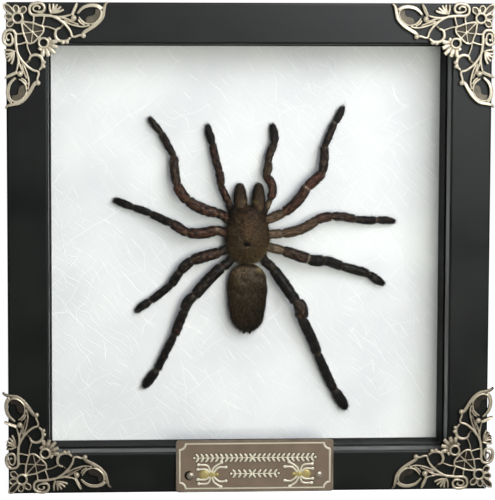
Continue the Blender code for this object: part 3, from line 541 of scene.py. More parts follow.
def dome(x, y, radius, height):
    # a cast pellet on a short post
    bpy.ops.object.select_all(action="DESELECT")
    bpy.ops.mesh.primitive_uv_sphere_add(segments=20, ring_count=12, radius=radius * mm,
                                         location=(x * mm, y * mm, (height - radius) * mm))
    made = bpy.context.active_object
    bpy.ops.object.transform_apply(location=True)
    for vert in made.data.vertices:
        if vert.co.z < (height - radius) * mm - 1e-6:
            vert.co.z = 0
    return made


def ringOn(centre, radius, width):
    # an open ring that stands a little higher than the strips
    turns = [math.tau * i / 20 for i in range(21)]
    points = [(centre[0] + radius * math.cos(a), centre[1] + radius * math.sin(a)) for a in turns]
    return strip(points, width, 1.95)


def castCorner():
    # the master corner, lying face up
    half = [strip(*line) for line in filigree["strips"].values()]
    half += [dome(x, y, radius, height) for (x, y), radius, height in filigree["balls"]]
    half += [plateFrom(outline, top) for outline, top in filigree["plates"]]
    flower, shell = filigree["rings"]
    for turn, length in filigree["flower"][:2]:
        half += petal(flower[0], turn, length, filigree["flowerWide"], flower[1])
    for turn, length in filigree["shell"][1:]:
        half += lobe(shell[0], 45 - turn, length, filigree["shellWide"], shell[1])
    half = joinAll(half, "corner_half")
    other = half.copy()
    other.data = half.data.copy()
    bpy.context.collection.objects.link(other)
    other.data.transform(Matrix(((0, 1, 0, 0), (1, 0, 0, 0), (0, 0, 1, 0), (0, 0, 0, 1))))
    other.data.flip_normals()
    middle = [strip(*filigree["onDiagonal"])]
    middle.append(plateFrom(filigree["webPlate"], filigree["backing"]))
    middle += [ringOn(*ring) for ring in filigree["rings"]]
    middle += petal(flower[0], *filigree["flower"][2], filigree["middleWide"], flower[1])
    middle += lobe(shell[0], 45, filigree["shell"][0][1], filigree["shellWide"], shell[1])
    whole = joinAll([other, *middle, half], "corner_master")
    applyModifier(whole, "REMESH", mode="VOXEL", voxel_size=filigree["voxel"] * mm, use_smooth_shade=True)
    applyModifier(whole, "SMOOTH", factor=0.5, iterations=2)
    applyModifier(whole, "DECIMATE", decimate_type="COLLAPSE", ratio=filigree["facesKept"])
    # the decimation can leave a flat bubble, two faces on the same points: one goes, then its open twin
    whole.data.validate()
    bpy.ops.object.mode_set(mode="EDIT")
    bpy.ops.mesh.select_mode(type="VERT")
    bpy.ops.mesh.select_all(action="DESELECT")
    bpy.ops.mesh.select_non_manifold(use_wire=False, use_boundary=True, use_multi_face=False,
                                     use_non_contiguous=False, use_verts=False)
    bpy.ops.mesh.delete(type="VERT")
    bpy.ops.object.mode_set(mode="OBJECT")
    return whole


master = castCorner()
print("corner cast:", len(master.data.polygons), "faces")
# the same casting in two copies: the lower corners wear one painted darker, which is painted shade
litSilver = antiqueSilver("antiqued_silver_plated_casting", {
    "rubbed": "#fbf0d8", "worn": "#cfc2aa", "edge": "#8f8573", "hollow": "#5d594f", "dark": "#1f1d1b",
    "low": 0.4, "high": 1.58, "metal": 0.45})
shadedSilver = antiqueSilver("antiqued_silver_casting_painted_shaded", {
    "rubbed": "#e9dcc3", "worn": "#9d907e", "edge": "#544c43", "hollow": "#35302b", "dark": "#131110",
    "low": 0.4, "high": 1.62, "metal": 0.6})
for level, top in (("top", 1), ("bottom", -1)):
    for side, sign in (("left", -1), ("right", 1)):
        pastSide, pastLevel, degrees = filigree["places"][level + "_" + side]
        edge = (frameRight if sign > 0 else frameLeft) + sign * pastSide * mm
        point = frameTop + pastLevel * mm if top > 0 else -pastLevel * mm
        stand = Matrix(((-sign, 0, 0, edge), (0, 0, -1, faceY - filigree["lift"] * mm),
                        (0, -top, 0, point), (0, 0, 0, 1)))
        pin = Matrix.Translation(stand @ (Vector((*filigree["rings"][0][0], 0)) * mm))
        stand = pin @ Matrix.Rotation(math.radians(-degrees), 4, "Y") @ pin.inverted() @ stand
        made = bpy.data.objects.new("corner_" + level + "_" + side + "_casting", master.data.copy())
        bpy.context.collection.objects.link(made)
        made.data.transform(stand)
        if stand.determinant() < 0:
            made.data.flip_normals()
        dress(made, litSilver if top > 0 else shadedSilver)
        pick(made)
        bpy.ops.object.shade_smooth()
        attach(made, "root")
        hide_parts("corner_" + level + "_" + side)
bpy.data.objects.remove(master, do_unlink=True)


# Nameplate. Plan in mm from its middle, heights above its back; the field stays plain of lettering.
plate = {
    "size": (65.9, 22.1), "corner": 1.2, "thick": 1.2, "centre": (2.2, 11.25), "lift": 0.3,
    "borderInset": 1.05, "borderWide": 1.15, "borderTop": 1.54, "notch": 2.5, "edgeWide": 0.75,
    "edgeTop": 1.3, "nailHole": (-27.5, -3.9), "holeWide": 1.9, "holeFloor": 0.35,
    "spiders": [(-18.7, -3.6, 1), (19.1, -3.6, -1)], "legWide": 1.0,
    "legs": [[(0.8, 0.9), (1.6, 3.0), (4.8, 5.1)], [(1.4, 0.7), (3.4, 2.9), (6.6, 3.1)],
             [(0.2, 1.0), (-1.1, 3.8), (-4.8, 4.2)], [(-0.2, 0.8), (-1.8, 2.2), (-5.0, 2.2)],
             [(0.8, -0.9), (1.8, -3.3), (4.5, -5.1)], [(1.4, -0.7), (3.8, -2.8), (6.6, -2.7)],
             [(0.2, -1.0), (-0.9, -3.6), (-4.6, -3.8)], [(-0.2, -0.8), (-1.8, -2.0), (-5.0, -2.0)]],
    "bodies": [(0.8, 1.75, 1.5), (-2.2, 2.0, 1.85), (2.9, 0.8, 0.75)],
    "garlands": [(3.4, 24.3, 2.05), (-3.3, 8.9, 2.0)], "leaf": (1.15, 0.5), "washAndShadeWide": 0.6,
    "washAndShadeTop": 1.25, "rubbedAt": 1.4}


def plateOutline(inset, corner, hollow):
    # the plate's outline drawn in by some mm, with round corners or hollowed ones
    wide, high = plate["size"][0] / 2 - inset, plate["size"][1] / 2 - inset
    points = []
    for sx, sy, first in ((1, 1, 0), (-1, 1, 90), (-1, -1, 180), (1, -1, 270)):
        for i in range(7):
            turn = math.radians(first + 15 * i)
            if hollow:
                turn = math.radians(first + 270 - 15 * i)
                points.append((sx * wide + corner * math.cos(turn), sy * high + corner * math.sin(turn)))
            else:
                points.append((sx * (wide - corner) + corner * math.cos(turn),
                               sy * (high - corner) + corner * math.sin(turn)))
    return points


def raisedLine(points, wide, top, base, washed=True):
    # a cast line on the plate, round topped, with the low step beside it that holds the wash and painted
    # shade
    lines = []
    for across, clipped in ((wide, top), (wide + plate["washAndShadeWide"], plate["washAndShadeTop"]))[:1 + washed]:
        at = [(x * mm, y * mm, (top - across / 2) * mm) for x, y in points]
        line = tubeAlong(at, across / 2 * mm, sides=3)
        for vert in line.data.vertices:
            foot = vert.co.z < (top - across * 0.52) * mm
            vert.co.z = base * mm if foot else min(vert.co.z, clipped * mm)  # a flat foot and a flat top
        lines.append(line)
    return joinAll(lines, "raised_line")


def pellet(x, y, wide, high, top, base, turn=0.0):
    # a cast drop: an oval dome that stands on the field
    drop = ball("drop", 20, 12)
    drop.data.transform(Matrix.Translation((x * mm, y * mm, base * mm)) @ Matrix.Rotation(turn, 4, "Z")
                        @ Matrix.Diagonal((wide * mm, high * mm, (top - base) * mm, 1)))
    for vert in drop.data.vertices:
        vert.co.z = max(vert.co.z, (base - 0.1) * mm)
    if top > plate["washAndShadeTop"]:
        step = plate["washAndShadeWide"] / 2
        return joinAll([pellet(x, y, wide + step, high + step, plate["washAndShadeTop"], base, turn), drop], "drop")
    return drop


def plateMetal(name, look):
    # thin cast alloy with a brown antique wash: the wash stays in the hollows, raised lines are rubbed
    made, tree, shader = newMaterial(name, 0.38, metallic=1.0)
    where = addNode(tree, "TexCoord")
    place = addNode(tree, "SeparateXYZ", {0: where.outputs["Object"]})
    back = faceY - plate["lift"] * mm
    height = addNode(tree, "MapRange", {"Value": place.outputs["Y"], "From Min": back - 1.18 * mm,
                                        "From Max": back - plate["rubbedAt"] * mm})
    blotch = addNode(tree, "TexNoise", {"Vector": where.outputs["Object"], "Scale": 160.0, "Detail": 4.0})
    jitter = addNode(tree, "MapRange", {"Value": blotch, "To Min": -0.05, "To Max": 0.05})
    rubbed = addNode(tree, "Math", {0: height, 1: jitter}, operation="ADD", use_clamp=True)
    field = addNode(tree, "ValToRGB", {"Fac": blotch},
                    stops=[(0.3, linear(look["field"])), (0.7, linear(look["cloud"]))])
    sunk = addNode(tree, "MapRange", {"Value": place.outputs["Y"], "From Min": back - 0.8 * mm,
                                      "From Max": back - 1.15 * mm})
    washed = addNode(tree, "Mix", {"Factor": sunk, "A": linear(look["dark"]), "B": field}, data_type="RGBA")
    share = addNode(tree, "MapRange", {"Value": rubbed, "From Min": 0.42, "From Max": 0.6})
    # a dark ring on the low step beside each raised line: brown wash pooled there, and painted shade where
    # the line meets the field
    pooledWashAndShade = addNode(tree, "MapRange", {"Value": rubbed, "From Min": 0.15, "From Max": 0.21, "To Max": 0.8})
    edged = addNode(tree, "Mix", {"Factor": pooledWashAndShade, "A": washed, "B": linear(look["dark"])},
                    data_type="RGBA")
    colour = addNode(tree, "Mix", {"Factor": share, "A": edged, "B": linear(look["rubbed"])},
                     data_type="RGBA")
    shine = addNode(tree, "MapRange", {"Value": share, "To Min": 0.1, "To Max": 0.4})
    gloss = addNode(tree, "MapRange", {"Value": share, "To Min": 0.55, "To Max": 0.34})
    grain = addNode(tree, "TexNoise", {"Vector": where.outputs["Object"], "Scale": 1500.0, "Detail": 3.0})
    bump = addNode(tree, "Bump", {"Height": grain, "Strength": 0.25, "Distance": 0.05 * mm})
    feed(tree, shader, {"Metallic": shine, "Base Color": colour, "Roughness": gloss, "Normal": bump})
    return made


def castPlate():
    # the plate, its rims, two relief spiders, and leaf garlands where lettering could go
    thick = plate["thick"]
    slabPiece = plateFrom(plateOutline(0.15, plate["corner"], False), thick)
    bpy.ops.object.select_all(action="DESELECT")
    bpy.ops.mesh.primitive_cylinder_add(vertices=32, radius=plate["holeWide"] * mm, depth=2 * mm, location=(
        plate["nailHole"][0] * mm, plate["nailHole"][1] * mm, (plate["holeFloor"] + 1) * mm))
    drill = bpy.context.active_object
    applyModifier(slabPiece, "BOOLEAN", operation="DIFFERENCE", solver="EXACT", object=drill)
    bpy.data.objects.remove(drill, do_unlink=True)
    edge = plateOutline(0.4, plate["corner"] - 0.2, False)
    border = plateOutline(plate["borderInset"] + plate["borderWide"] / 2, plate["notch"], True)
    parts = [slabPiece, raisedLine(edge + edge[:1], plate["edgeWide"], plate["edgeTop"], 0.9, False),
             raisedLine(border + border[:1], plate["borderWide"], plate["borderTop"], 0.9)]
    long, wide = plate["leaf"]
    for y, reach, apart in plate["garlands"]:
        parts.append(raisedLine([(-reach, y), (reach, y)], 0.42, 1.42, 0.9))
        count = round(reach / apart)
        for i in range(-count, count + 1):
            for side in (-1, 1):
                lean = math.radians(52) * side * (1 if i >= 0 else -1)
                x = i * reach / count - 0.3 * (1 if i >= 0 else -1)
                parts.append(pellet(x, y + side * 0.95, long, wide, 1.5, thick, lean))
        for side in (-1, 1):
            parts.append(pellet(side * (reach + 1.0), y, 0.6, 0.6, 1.5, thick))
    drops = []
    for x, y, ahead in plate["spiders"]:
        for line in plate["legs"]:
            points = softLine([(x + ahead * a, y + b) for a, b in line], 5)
            parts.append(raisedLine(points, plate["legWide"], 1.52, 1.0))
            foot = points[-1]
            parts.append(pellet(foot[0], foot[1], 0.82, 0.72, 1.53, thick))
        for along, long, wide in plate["bodies"]:
            drops.append(pellet(x + ahead * along, y, long, wide, 1.54, thick))
    return joinAll(parts, "nameplate_cast"), joinAll(drops, "nameplate_relief_spiders")


standPlate = Matrix(((1, 0, 0, plate["centre"][0] * mm), (0, 0, -1, faceY - plate["lift"] * mm),
                     (0, 1, 0, plate["centre"][1] * mm), (0, 0, 0, 1)))
plateBody, reliefSpiders = castPlate()
brownWash = plateMetal("antiqued_alloy_with_brown_wash", {
    "dark": "#1d1610", "field": "#78685a", "cloud": "#847464", "rubbed": "#fbf4de"})
goldWash = plateMetal("rubbed_gilt_relief", {
    "dark": "#2c2313", "field": "#a5965f", "cloud": "#b5a569", "rubbed": "#c9b87c"})
for piece, metal in ((plateBody, brownWash), (reliefSpiders, goldWash)):
    piece.data.transform(standPlate)
    dress(piece, metal)
    pick(piece)
    bpy.ops.object.shade_smooth_by_angle(angle=math.radians(40))
nameplate = joinAll([reliefSpiders, plateBody], "nameplate_cast")
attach(nameplate, "root")
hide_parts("nameplate")

# small round-headed nails, brass plated: the plain heads with a worn sheen
brass = speckled("brass_plated_round_nail", 0.36, 900.0, 3.0, [(0.35, "#b0a391"), (0.65, "#ebe2cf")],
                 metallic=0.7)
for side in ("left", "right"):
    dress(nodes["nameplate_nail_" + side], brass)
print("nameplate on:", len(nameplate.data.polygons), "faces")


# The spider. Sizes in mm about the middle of the paper: across, along (head end up), height above it.
# Each limb has its root, then for each segment its length, heading (0 to the right, 90 to the head),
# height at the far end, radius, and how far its middle bows to the left of the heading.
# "dark" and "red" are how black and how reddish brown each segment is, "tan" how pale the first ones
# are, "rings" the joints with pale skin between, and "spot" a rubbed orange place.
spider = {
    "across": 0.2,
    "carapaceHalf": (9.3, 12.3, 4.6), "carapaceAlong": 4.3, "carapaceHeight": 6.0,
    "abdomenHalf": (8.0, 14.9, 5.3), "abdomenAlong": -22.1, "abdomenHeight": 5.7,
    "jawLength": 9.6, "jawRadius": 2.9, "jawMiddle": 0.8, "jawApart": 3.8, "jawToeOut": 1.5,
    "skinShare": 0.93, "station": 0.35, "pinch": 0.26, "pinchLong": 0.6, "ripple": 0.32, "sunk": 0.06,
    "numbers": ("shade", "pale", "red", "round", "down")}
limbs = {
    "leg_left_1": {"root": (-9.0, 11.8, 5),
                   "dark": (0.3, 0.3, 0.2, 0.42, 0.85, 0.85), "red": (0.6, 0.8, 1, 0.4, 0.5, 0.1),
                   "segments": [
        (4.3, 150, 7, 2.1, 0), (13.5, 157, 8, 2.35, 1), (7.8, 126, 7, 2.3, 0.6),
        (12, 96, 4.5, 1.95, 0.5), (10.9, 118, 3, 1.5, 0), (8.7, 128, 2, 1.4, 0.1)]},
    "leg_left_2": {"root": (-9.0, 5.1, 5), "rings": [(1, 0.55)],
                   "dark": (0.15, 0.3, 0.4, 1.0, 1.1, 1.05), "red": (0.7, 0.85, 0.7, 0.3, 0.1, 0.1),
                   "segments": [
        (4.5, 159, 6.5, 2.0, 0), (11.8, 186, 7.5, 2.3, 0.8), (7.9, 149, 6.5, 2.1, 0.4),
        (9.6, 157, 4.2, 1.7, 0.3), (7.8, 161, 3, 1.5, -0.2), (9, 158, 2, 1.55, 0)]},
    "leg_left_3": {"root": (-9.0, -1.7, 5),
                   "dark": (0.8, 0.5, 0.7, 0.95, 1.0, 0.9), "red": (0.3, 0.6, 0.2, 0.1, 0.1, 0),
                   "segments": [
        (3, 203, 6.5, 2.0, 0), (12, 195, 7.5, 2.4, 0), (6.8, 224, 6.5, 2.2, -0.2),
        (7.2, 238, 4.2, 1.85, -0.1), (10.9, 219, 3, 1.6, 0), (8, 216, 2, 1.6, -0.2)]},
    "leg_left_4": {"root": (-7.7, -7.3, 5), "spot": (-29.5, -36.4),
                   "dark": (1.0, 0.9, 0.85, 1.0, 1.1, 1.15), "red": (0.1, 0.15, 0.2, 0.3, 0.3, 0.1),
                   "segments": [
        (3.5, 211, 6.5, 2.1, 0), (16.5, 226, 8, 2.45, -0.5), (7.4, 235, 7, 2.25, -0.9),
        (11.8, 249, 4.5, 2.0, -0.1), (17, 244, 3, 1.65, -0.1), (9.6, 234, 2, 1.9, -0.1)]},
    "leg_right_1": {"root": (8.0, 10.5, 5), "rings": [(2, 0.8), (5, 0.6)], "tan": (0.25,),
                   "dark": (0.15, 0.35, 0.2, 0.6, 0.8, 0.9), "red": (0.4, 0.7, 1, 0.35, 0.5, 0.1),
                   "segments": [
        (7.9, 25, 7, 2.1, 0), (14.3, 48, 8, 2.25, -0.9), (8.9, 42, 7, 2.25, 0),
        (11.1, 84, 4.5, 1.85, -0.5), (11.1, 66, 3, 1.5, -0.1), (7.9, 63, 2, 1.5, -0.4)]},
    "leg_right_2": {"root": (8.8, 4.5, 5), "rings": [(1, 0.4), (5, 0.5)], "tan": (0.3, 0.16),
                   "dark": (0.1, 0.25, 0.35, 0.6, 1.05, 0.9), "red": (0.4, 0.5, 0.7, 0.7, 0.3, 0.5),
                   "segments": [
        (6, 5, 6.5, 2.0, 0), (15.3, 22, 7.5, 2.15, -1.2), (6.6, 14, 6.5, 2.1, 0.2),
        (10.5, -8, 4.2, 1.8, 0.3), (9.2, -4, 3, 1.6, -0.3), (8.5, -4, 2, 1.5, 0.2)]},
    "leg_right_3": {"root": (8.9, -0.9, 5), "rings": [(1, 0.5), (2, 0.8)], "tan": (0.3,),
                   "dark": (0.1, 0.5, 1.2, 1.1, 0.95, 1.0), "red": (0.4, 0.5, 0, 0, 0, 0), "segments": [
        (6.1, -12, 6.5, 2.0, 0), (11.3, -18, 7.5, 2.4, 0), (6.7, -5, 6.5, 2.4, -0.6),
        (8.6, -21, 4.2, 2.1, 0.2), (11.9, -16, 3, 1.9, 0.1), (8.4, -33, 2, 1.7, -0.1)]},
    "leg_right_4": {"root": (8.0, -7.3, 5),
                   "dark": (0.9, 1.1, 0.6, 1.1, 1.15, 1.2), "red": (0.2, 0.1, 0.4, 0, 0, 0), "segments": [
        (3.7, -41, 6.5, 2.1, 0), (17.3, -55, 8, 2.5, 0), (7.2, -73, 7, 2.85, 1.1),
        (17.2, -65, 4.5, 2.2, 0.4), (17.9, -65, 3, 1.95, -0.2), (9.9, -56, 2, 2.25, -0.1)]},
    "palp_left": {"root": (-7.0, 14.8, 4.6),
                   "dark": (0.4, 0.45, 0.55, 0.65, 1.1), "red": (0.5, 0.8, 0.7, 0.7, 0), "segments": [
        (3.4, 105, 5.5, 1.5, 0), (7.9, 115, 6, 1.6, 0.1), (5.7, 98, 5.5, 1.8, -0.2),
        (11.8, 103, 4, 1.65, 0.2), (8.8, 104, 2.2, 1.55, 0.2)]},
    "palp_right": {"root": (7.7, 14.4, 4.6), "tan": (0.2, 0, 0.08),
                   "dark": (0.25, 0.3, 0.45, 0.55, 1.05), "red": (0.1, 0.8, 0.2, 0.4, 0), "segments": [
        (5.3, 69, 5.5, 1.3, 0), (10.2, 101, 6, 1.85, -1.9), (5.6, 79, 5.5, 1.8, -0.3),
        (8, 71, 4, 1.65, 0.5), (8.7, 95, 2.2, 1.65, -0.5)]}}


def onPaper(points):
    # (across, along, height) rows in mm to places in the frame
    points = np.asarray(points, float).reshape(-1, 3)
    return np.stack([(spider["across"] + points[:, 0]) * mm, paperY - points[:, 2] * mm,
                     middleZ + points[:, 1] * mm], 1)


def setVertices(obj, places):
    obj.data.vertices.foreach_set("co", np.asarray(places, float).ravel())
    obj.data.update()


def setNumbers(*objects, **numbers):
    # one number for each vertex, or the same for all, under each name that the materials read
    for obj in objects:
        for name, values in numbers.items():
            made = obj.data.attributes.get(name) or obj.data.attributes.new(name, "FLOAT", "POINT")
            made.data.foreach_set("value", np.zeros(len(obj.data.vertices)) + values)


def getAttribute(obj, name):
    values = np.empty(len(obj.data.vertices))
    obj.data.attributes[name].data.foreach_get("value", values)
    return values


def scatterOn(body, count, chance):
    # random places on a skin, evenly by area, with the outward direction and the skin's own numbers
    mesh = body.data
    mesh.calc_loop_triangles()
    corners = np.empty(len(mesh.loop_triangles) * 3, int)
    mesh.loop_triangles.foreach_get("vertices", corners)
    corners = corners.reshape(-1, 3)
    places = vertexArray(body)
    a, b, c = places[corners[:, 0]], places[corners[:, 1]], places[corners[:, 2]]
    crossed = np.cross(b - a, c - a)
    area = np.linalg.norm(crossed, axis=1)
    which = chance.choice(len(area), count, p=area / area.sum())
    u, v = chance.random(count), chance.random(count)
    over = u + v > 1
    u[over], v[over] = 1 - u[over], 1 - v[over]
    share = np.stack([1 - u - v, u, v], 1)
    at = (places[corners[which]] * share[:, :, None]).sum(1)
    outward = crossed[which] / area[which][:, None]
    own = {name: (getAttribute(body, name)[corners[which]] * share).sum(1) for name in spider["numbers"]}
    return at, outward, own


def unit(rows):
    return rows / np.maximum(np.linalg.norm(rows, axis=1), 1e-12)[:, None]


def hairMesh(name, roots, heading, bend, lengths, thickness, own, chance, bends, keep=slice(None)):
    # thin three-sided bristles, bent towards a second direction, of which some may be left out
    roots, heading, bend, lengths = roots[keep], heading[keep], bend[keep], lengths[keep]
    count = len(roots)
    side = unit(np.cross(heading, chance.normal(size=(count, 3))))
    other = np.cross(heading, side)
    rings = []
    for level in range(bends):
        t = level / bends
        centre = roots + heading * (lengths * t)[:, None] + bend * (lengths * t * t * 0.5)[:, None]
        for turn in (0, math.tau / 3, 2 * math.tau / 3):
            off = side * math.cos(turn) + other * math.sin(turn)
            rings.append(centre + off * (thickness * (1 - 0.6 * t)))
    tip = roots + heading * lengths[:, None] + bend * (lengths * 0.5)[:, None]
    places = np.stack([*rings, tip], 1)
    each = 3 * bends + 1
    faces = []
    for level in range(bends - 1):
        low, high = 3 * level, 3 * level + 3
        for k in range(3):
            n = (k + 1) % 3
            faces += [(low + k, low + n, high + n), (low + k, high + n, high + k)]
    last = 3 * (bends - 1)
    faces += [(last + k, last + (k + 1) % 3, each - 1) for k in range(3)]
    corners = (np.arange(count)[:, None, None] * each + np.array(faces)[None]).reshape(-1, 3)
    mesh = bpy.data.meshes.new(name)
    mesh.from_pydata(places.reshape(-1, 3), [], corners)
    hair = bpy.data.objects.new(name, mesh)
    bpy.context.collection.objects.link(hair)
    setNumbers(hair, **{key: np.repeat(values[keep], each) for key, values in own.items()})
    setNumbers(hair, tint=np.repeat(chance.random(count), each))
    return hair


def finishPiece(body, hairs, name, skin, coat):
    # skin and hair made one piece, each with its own material
    for part in hairs:
        dress(part, coat)
    setNumbers(body, tint=0.5)
    dress(body, skin)
    made = joinAll([*hairs, body], name)
    bpy.ops.object.shade_smooth()
    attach(made, "root")
    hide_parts(name.replace("_haired", ""))
    return made


def cuticle(name, look):
    # dried cuticle and its short hair: brown or reddish in streaks that follow the hair, blackened where
    # "shade" says so, for black segments, dark joints and painted light and shade, with olive or whitish
    # places where "pale" says so
    made, tree, shader = newMaterial(name, look["roughness"], IOR=1.45, Specular_IOR_Level=look["specular"])
    shade, pale, red, tint, around, down = [addNode(tree, "Attribute", attribute_name=key).outputs["Fac"]
                                            for key in ("shade", "pale", "red", "tint", "round", "down")]
    laid = addNode(tree, "CombineXYZ", {"X": around, "Y": down})
    streaks = addNode(tree, "TexNoise", {"Vector": laid, "Scale": look["streaks"], "Detail": 4.0,
                                         "Roughness": 0.65})
    single = addNode(tree, "MapRange", {"Value": tint, "To Min": -look["single"], "To Max": look["single"]})
    both = addNode(tree, "Math", {0: streaks, 1: single}, operation="ADD")
    tone = addNode(tree, "MapRange", {"Value": both, "From Min": look["toneFrom"],
                                      "From Max": look["toneTo"]})
    low = addNode(tree, "Mix", {"Factor": red, "A": linear(look["brown"]), "B": linear(look["reddish"])},
                  data_type="RGBA")
    high = addNode(tree, "Mix", {"Factor": red, "A": linear(look["lightBrown"]),
                                 "B": linear(look["lightRed"])}, data_type="RGBA")
    lit = addNode(tree, "Mix", {"Factor": tone, "A": low, "B": high}, data_type="RGBA")
    swing = addNode(tree, "MapRange", {"Value": tone, "To Min": look["swing"],
                                       "To Max": -0.8 * look["swing"]})
    level = addNode(tree, "Math", {0: shade, 1: swing}, operation="ADD", use_clamp=True)
    darkened = addNode(tree, "Mix", {"Factor": level, "A": lit, "B": linear(look["black"])},
                       data_type="RGBA")
    palest = addNode(tree, "Mix", {"Factor": pale, "A": linear(look["golden"]), "B": linear(look["pale"])},
                     data_type="RGBA")
    mottle = addNode(tree, "MapRange", {"Value": tone, "To Min": 0.4, "To Max": 1.2})
    palely = addNode(tree, "Math", {0: pale, 1: mottle}, operation="MULTIPLY", use_clamp=True)
    colour = addNode(tree, "Mix", {"Factor": palely, "A": darkened, "B": palest}, data_type="RGBA")
    relief = addNode(tree, "Bump", {"Height": streaks, "Strength": 0.6, "Distance": 0.25 * mm})
    feed(tree, shader, {"Base Color": colour, "Normal": relief})
    return made


limbLook = {"brown": "#2b231a", "lightBrown": "#5d5140", "reddish": "#331c12", "lightRed": "#694332",
            "black": "#090807", "golden": "#8c6a3c", "pale": "#d8cfbf", "streaks": 1.6, "swing": 0.48,
            "toneFrom": 0.44, "toneTo": 0.58, "roughness": 0.42, "specular": 0.32, "single": 0.0}
bodyLook = {**limbLook, "brown": "#332818", "lightBrown": "#6e5d41", "reddish": "#3c2416",
            "lightRed": "#6e4c33", "golden": "#85703f", "pale": "#a39472", "streaks": 1.5, "swing": 0.24,
            "toneFrom": 0.39, "toneTo": 0.65}
hairLook = {"roughness": 0.6, "specular": 0.12, "single": 0.07}
limbSkin = cuticle("dried_leg_cuticle", limbLook)
limbHair = cuticle("leg_setae", {**limbLook, **hairLook})
bodySkin = cuticle("dried_body_cuticle", bodyLook)
bodyHair = cuticle("body_setae", {**bodyLook, **hairLook})


# each kind of hair: how many on a leg, on a palp, shortest and longest in mm, how far it stands up,
# its thickness in mm, and in how many steps it bends
limbHairs = {"fuzz": (10000, 7000, 0.35, 0.85, 0.42, 0.042, 1),
             "bristle": (420, 160, 1.0, 2.2, 0.75, 0.03, 2)}


def limbStations(limb):
    # even stations along a limb: place, radius, how near a joint, and how far along it is
    here = Vector(limb["root"])
    parts = [(here.lerp(Vector((0, spider["carapaceAlong"], here.z)), 0.3), here,
              limb["segments"][0][3] * 0.95, 0)]
    for length, heading, height, radius, bow in limb["segments"]:
        turn = math.radians(heading)
        there = Vector((here.x + length * math.cos(turn), here.y + length * math.sin(turn), height))
        parts.append((here, there, radius, bow))
        here = there
    rows = []
    last = len(parts) - 1
    for number, (a, b, radius, bow) in enumerate(parts):
        long = (b - a).length
        leftwards = Vector((a.y - b.y, b.x - a.x, 0)).normalized()
        steps = max(2, round(long / spider["station"]))
        for i in range(steps):
            t = i / steps
            near = [math.exp(-(t * long / spider["pinchLong"]) ** 2) if number > 1 else 0,
                    math.exp(-((1 - t) * long / spider["pinchLong"]) ** 2) if 0 < number < last else 0]
            swell = 1 - spider["pinch"] * max(near) + 0.05 * math.sin(math.pi * t)
            if number == last:
                swell *= 0.94 + 0.12 * math.sin(math.pi * min(1, t * 1.3))
                if t > 0.6:
                    swell *= math.sqrt(max(0.0, 1 - ((t - 0.6) / 0.44) ** 2))
            middle = a.lerp(b, t) + leftwards * bow * 4 * t * (1 - t)
            rows.append((*middle, radius * swell, max(near), number - 1 + t))
    rows.append((*parts[-1][0].lerp(parts[-1][1], 0.985), parts[-1][2] * 0.3, 0, last))
    rows = np.array(rows)
    for _ in range(2):
        rows[1:-1, :3] = (rows[:-2, :3] + 2 * rows[1:-1, :3] + rows[2:, :3]) / 4
    return rows


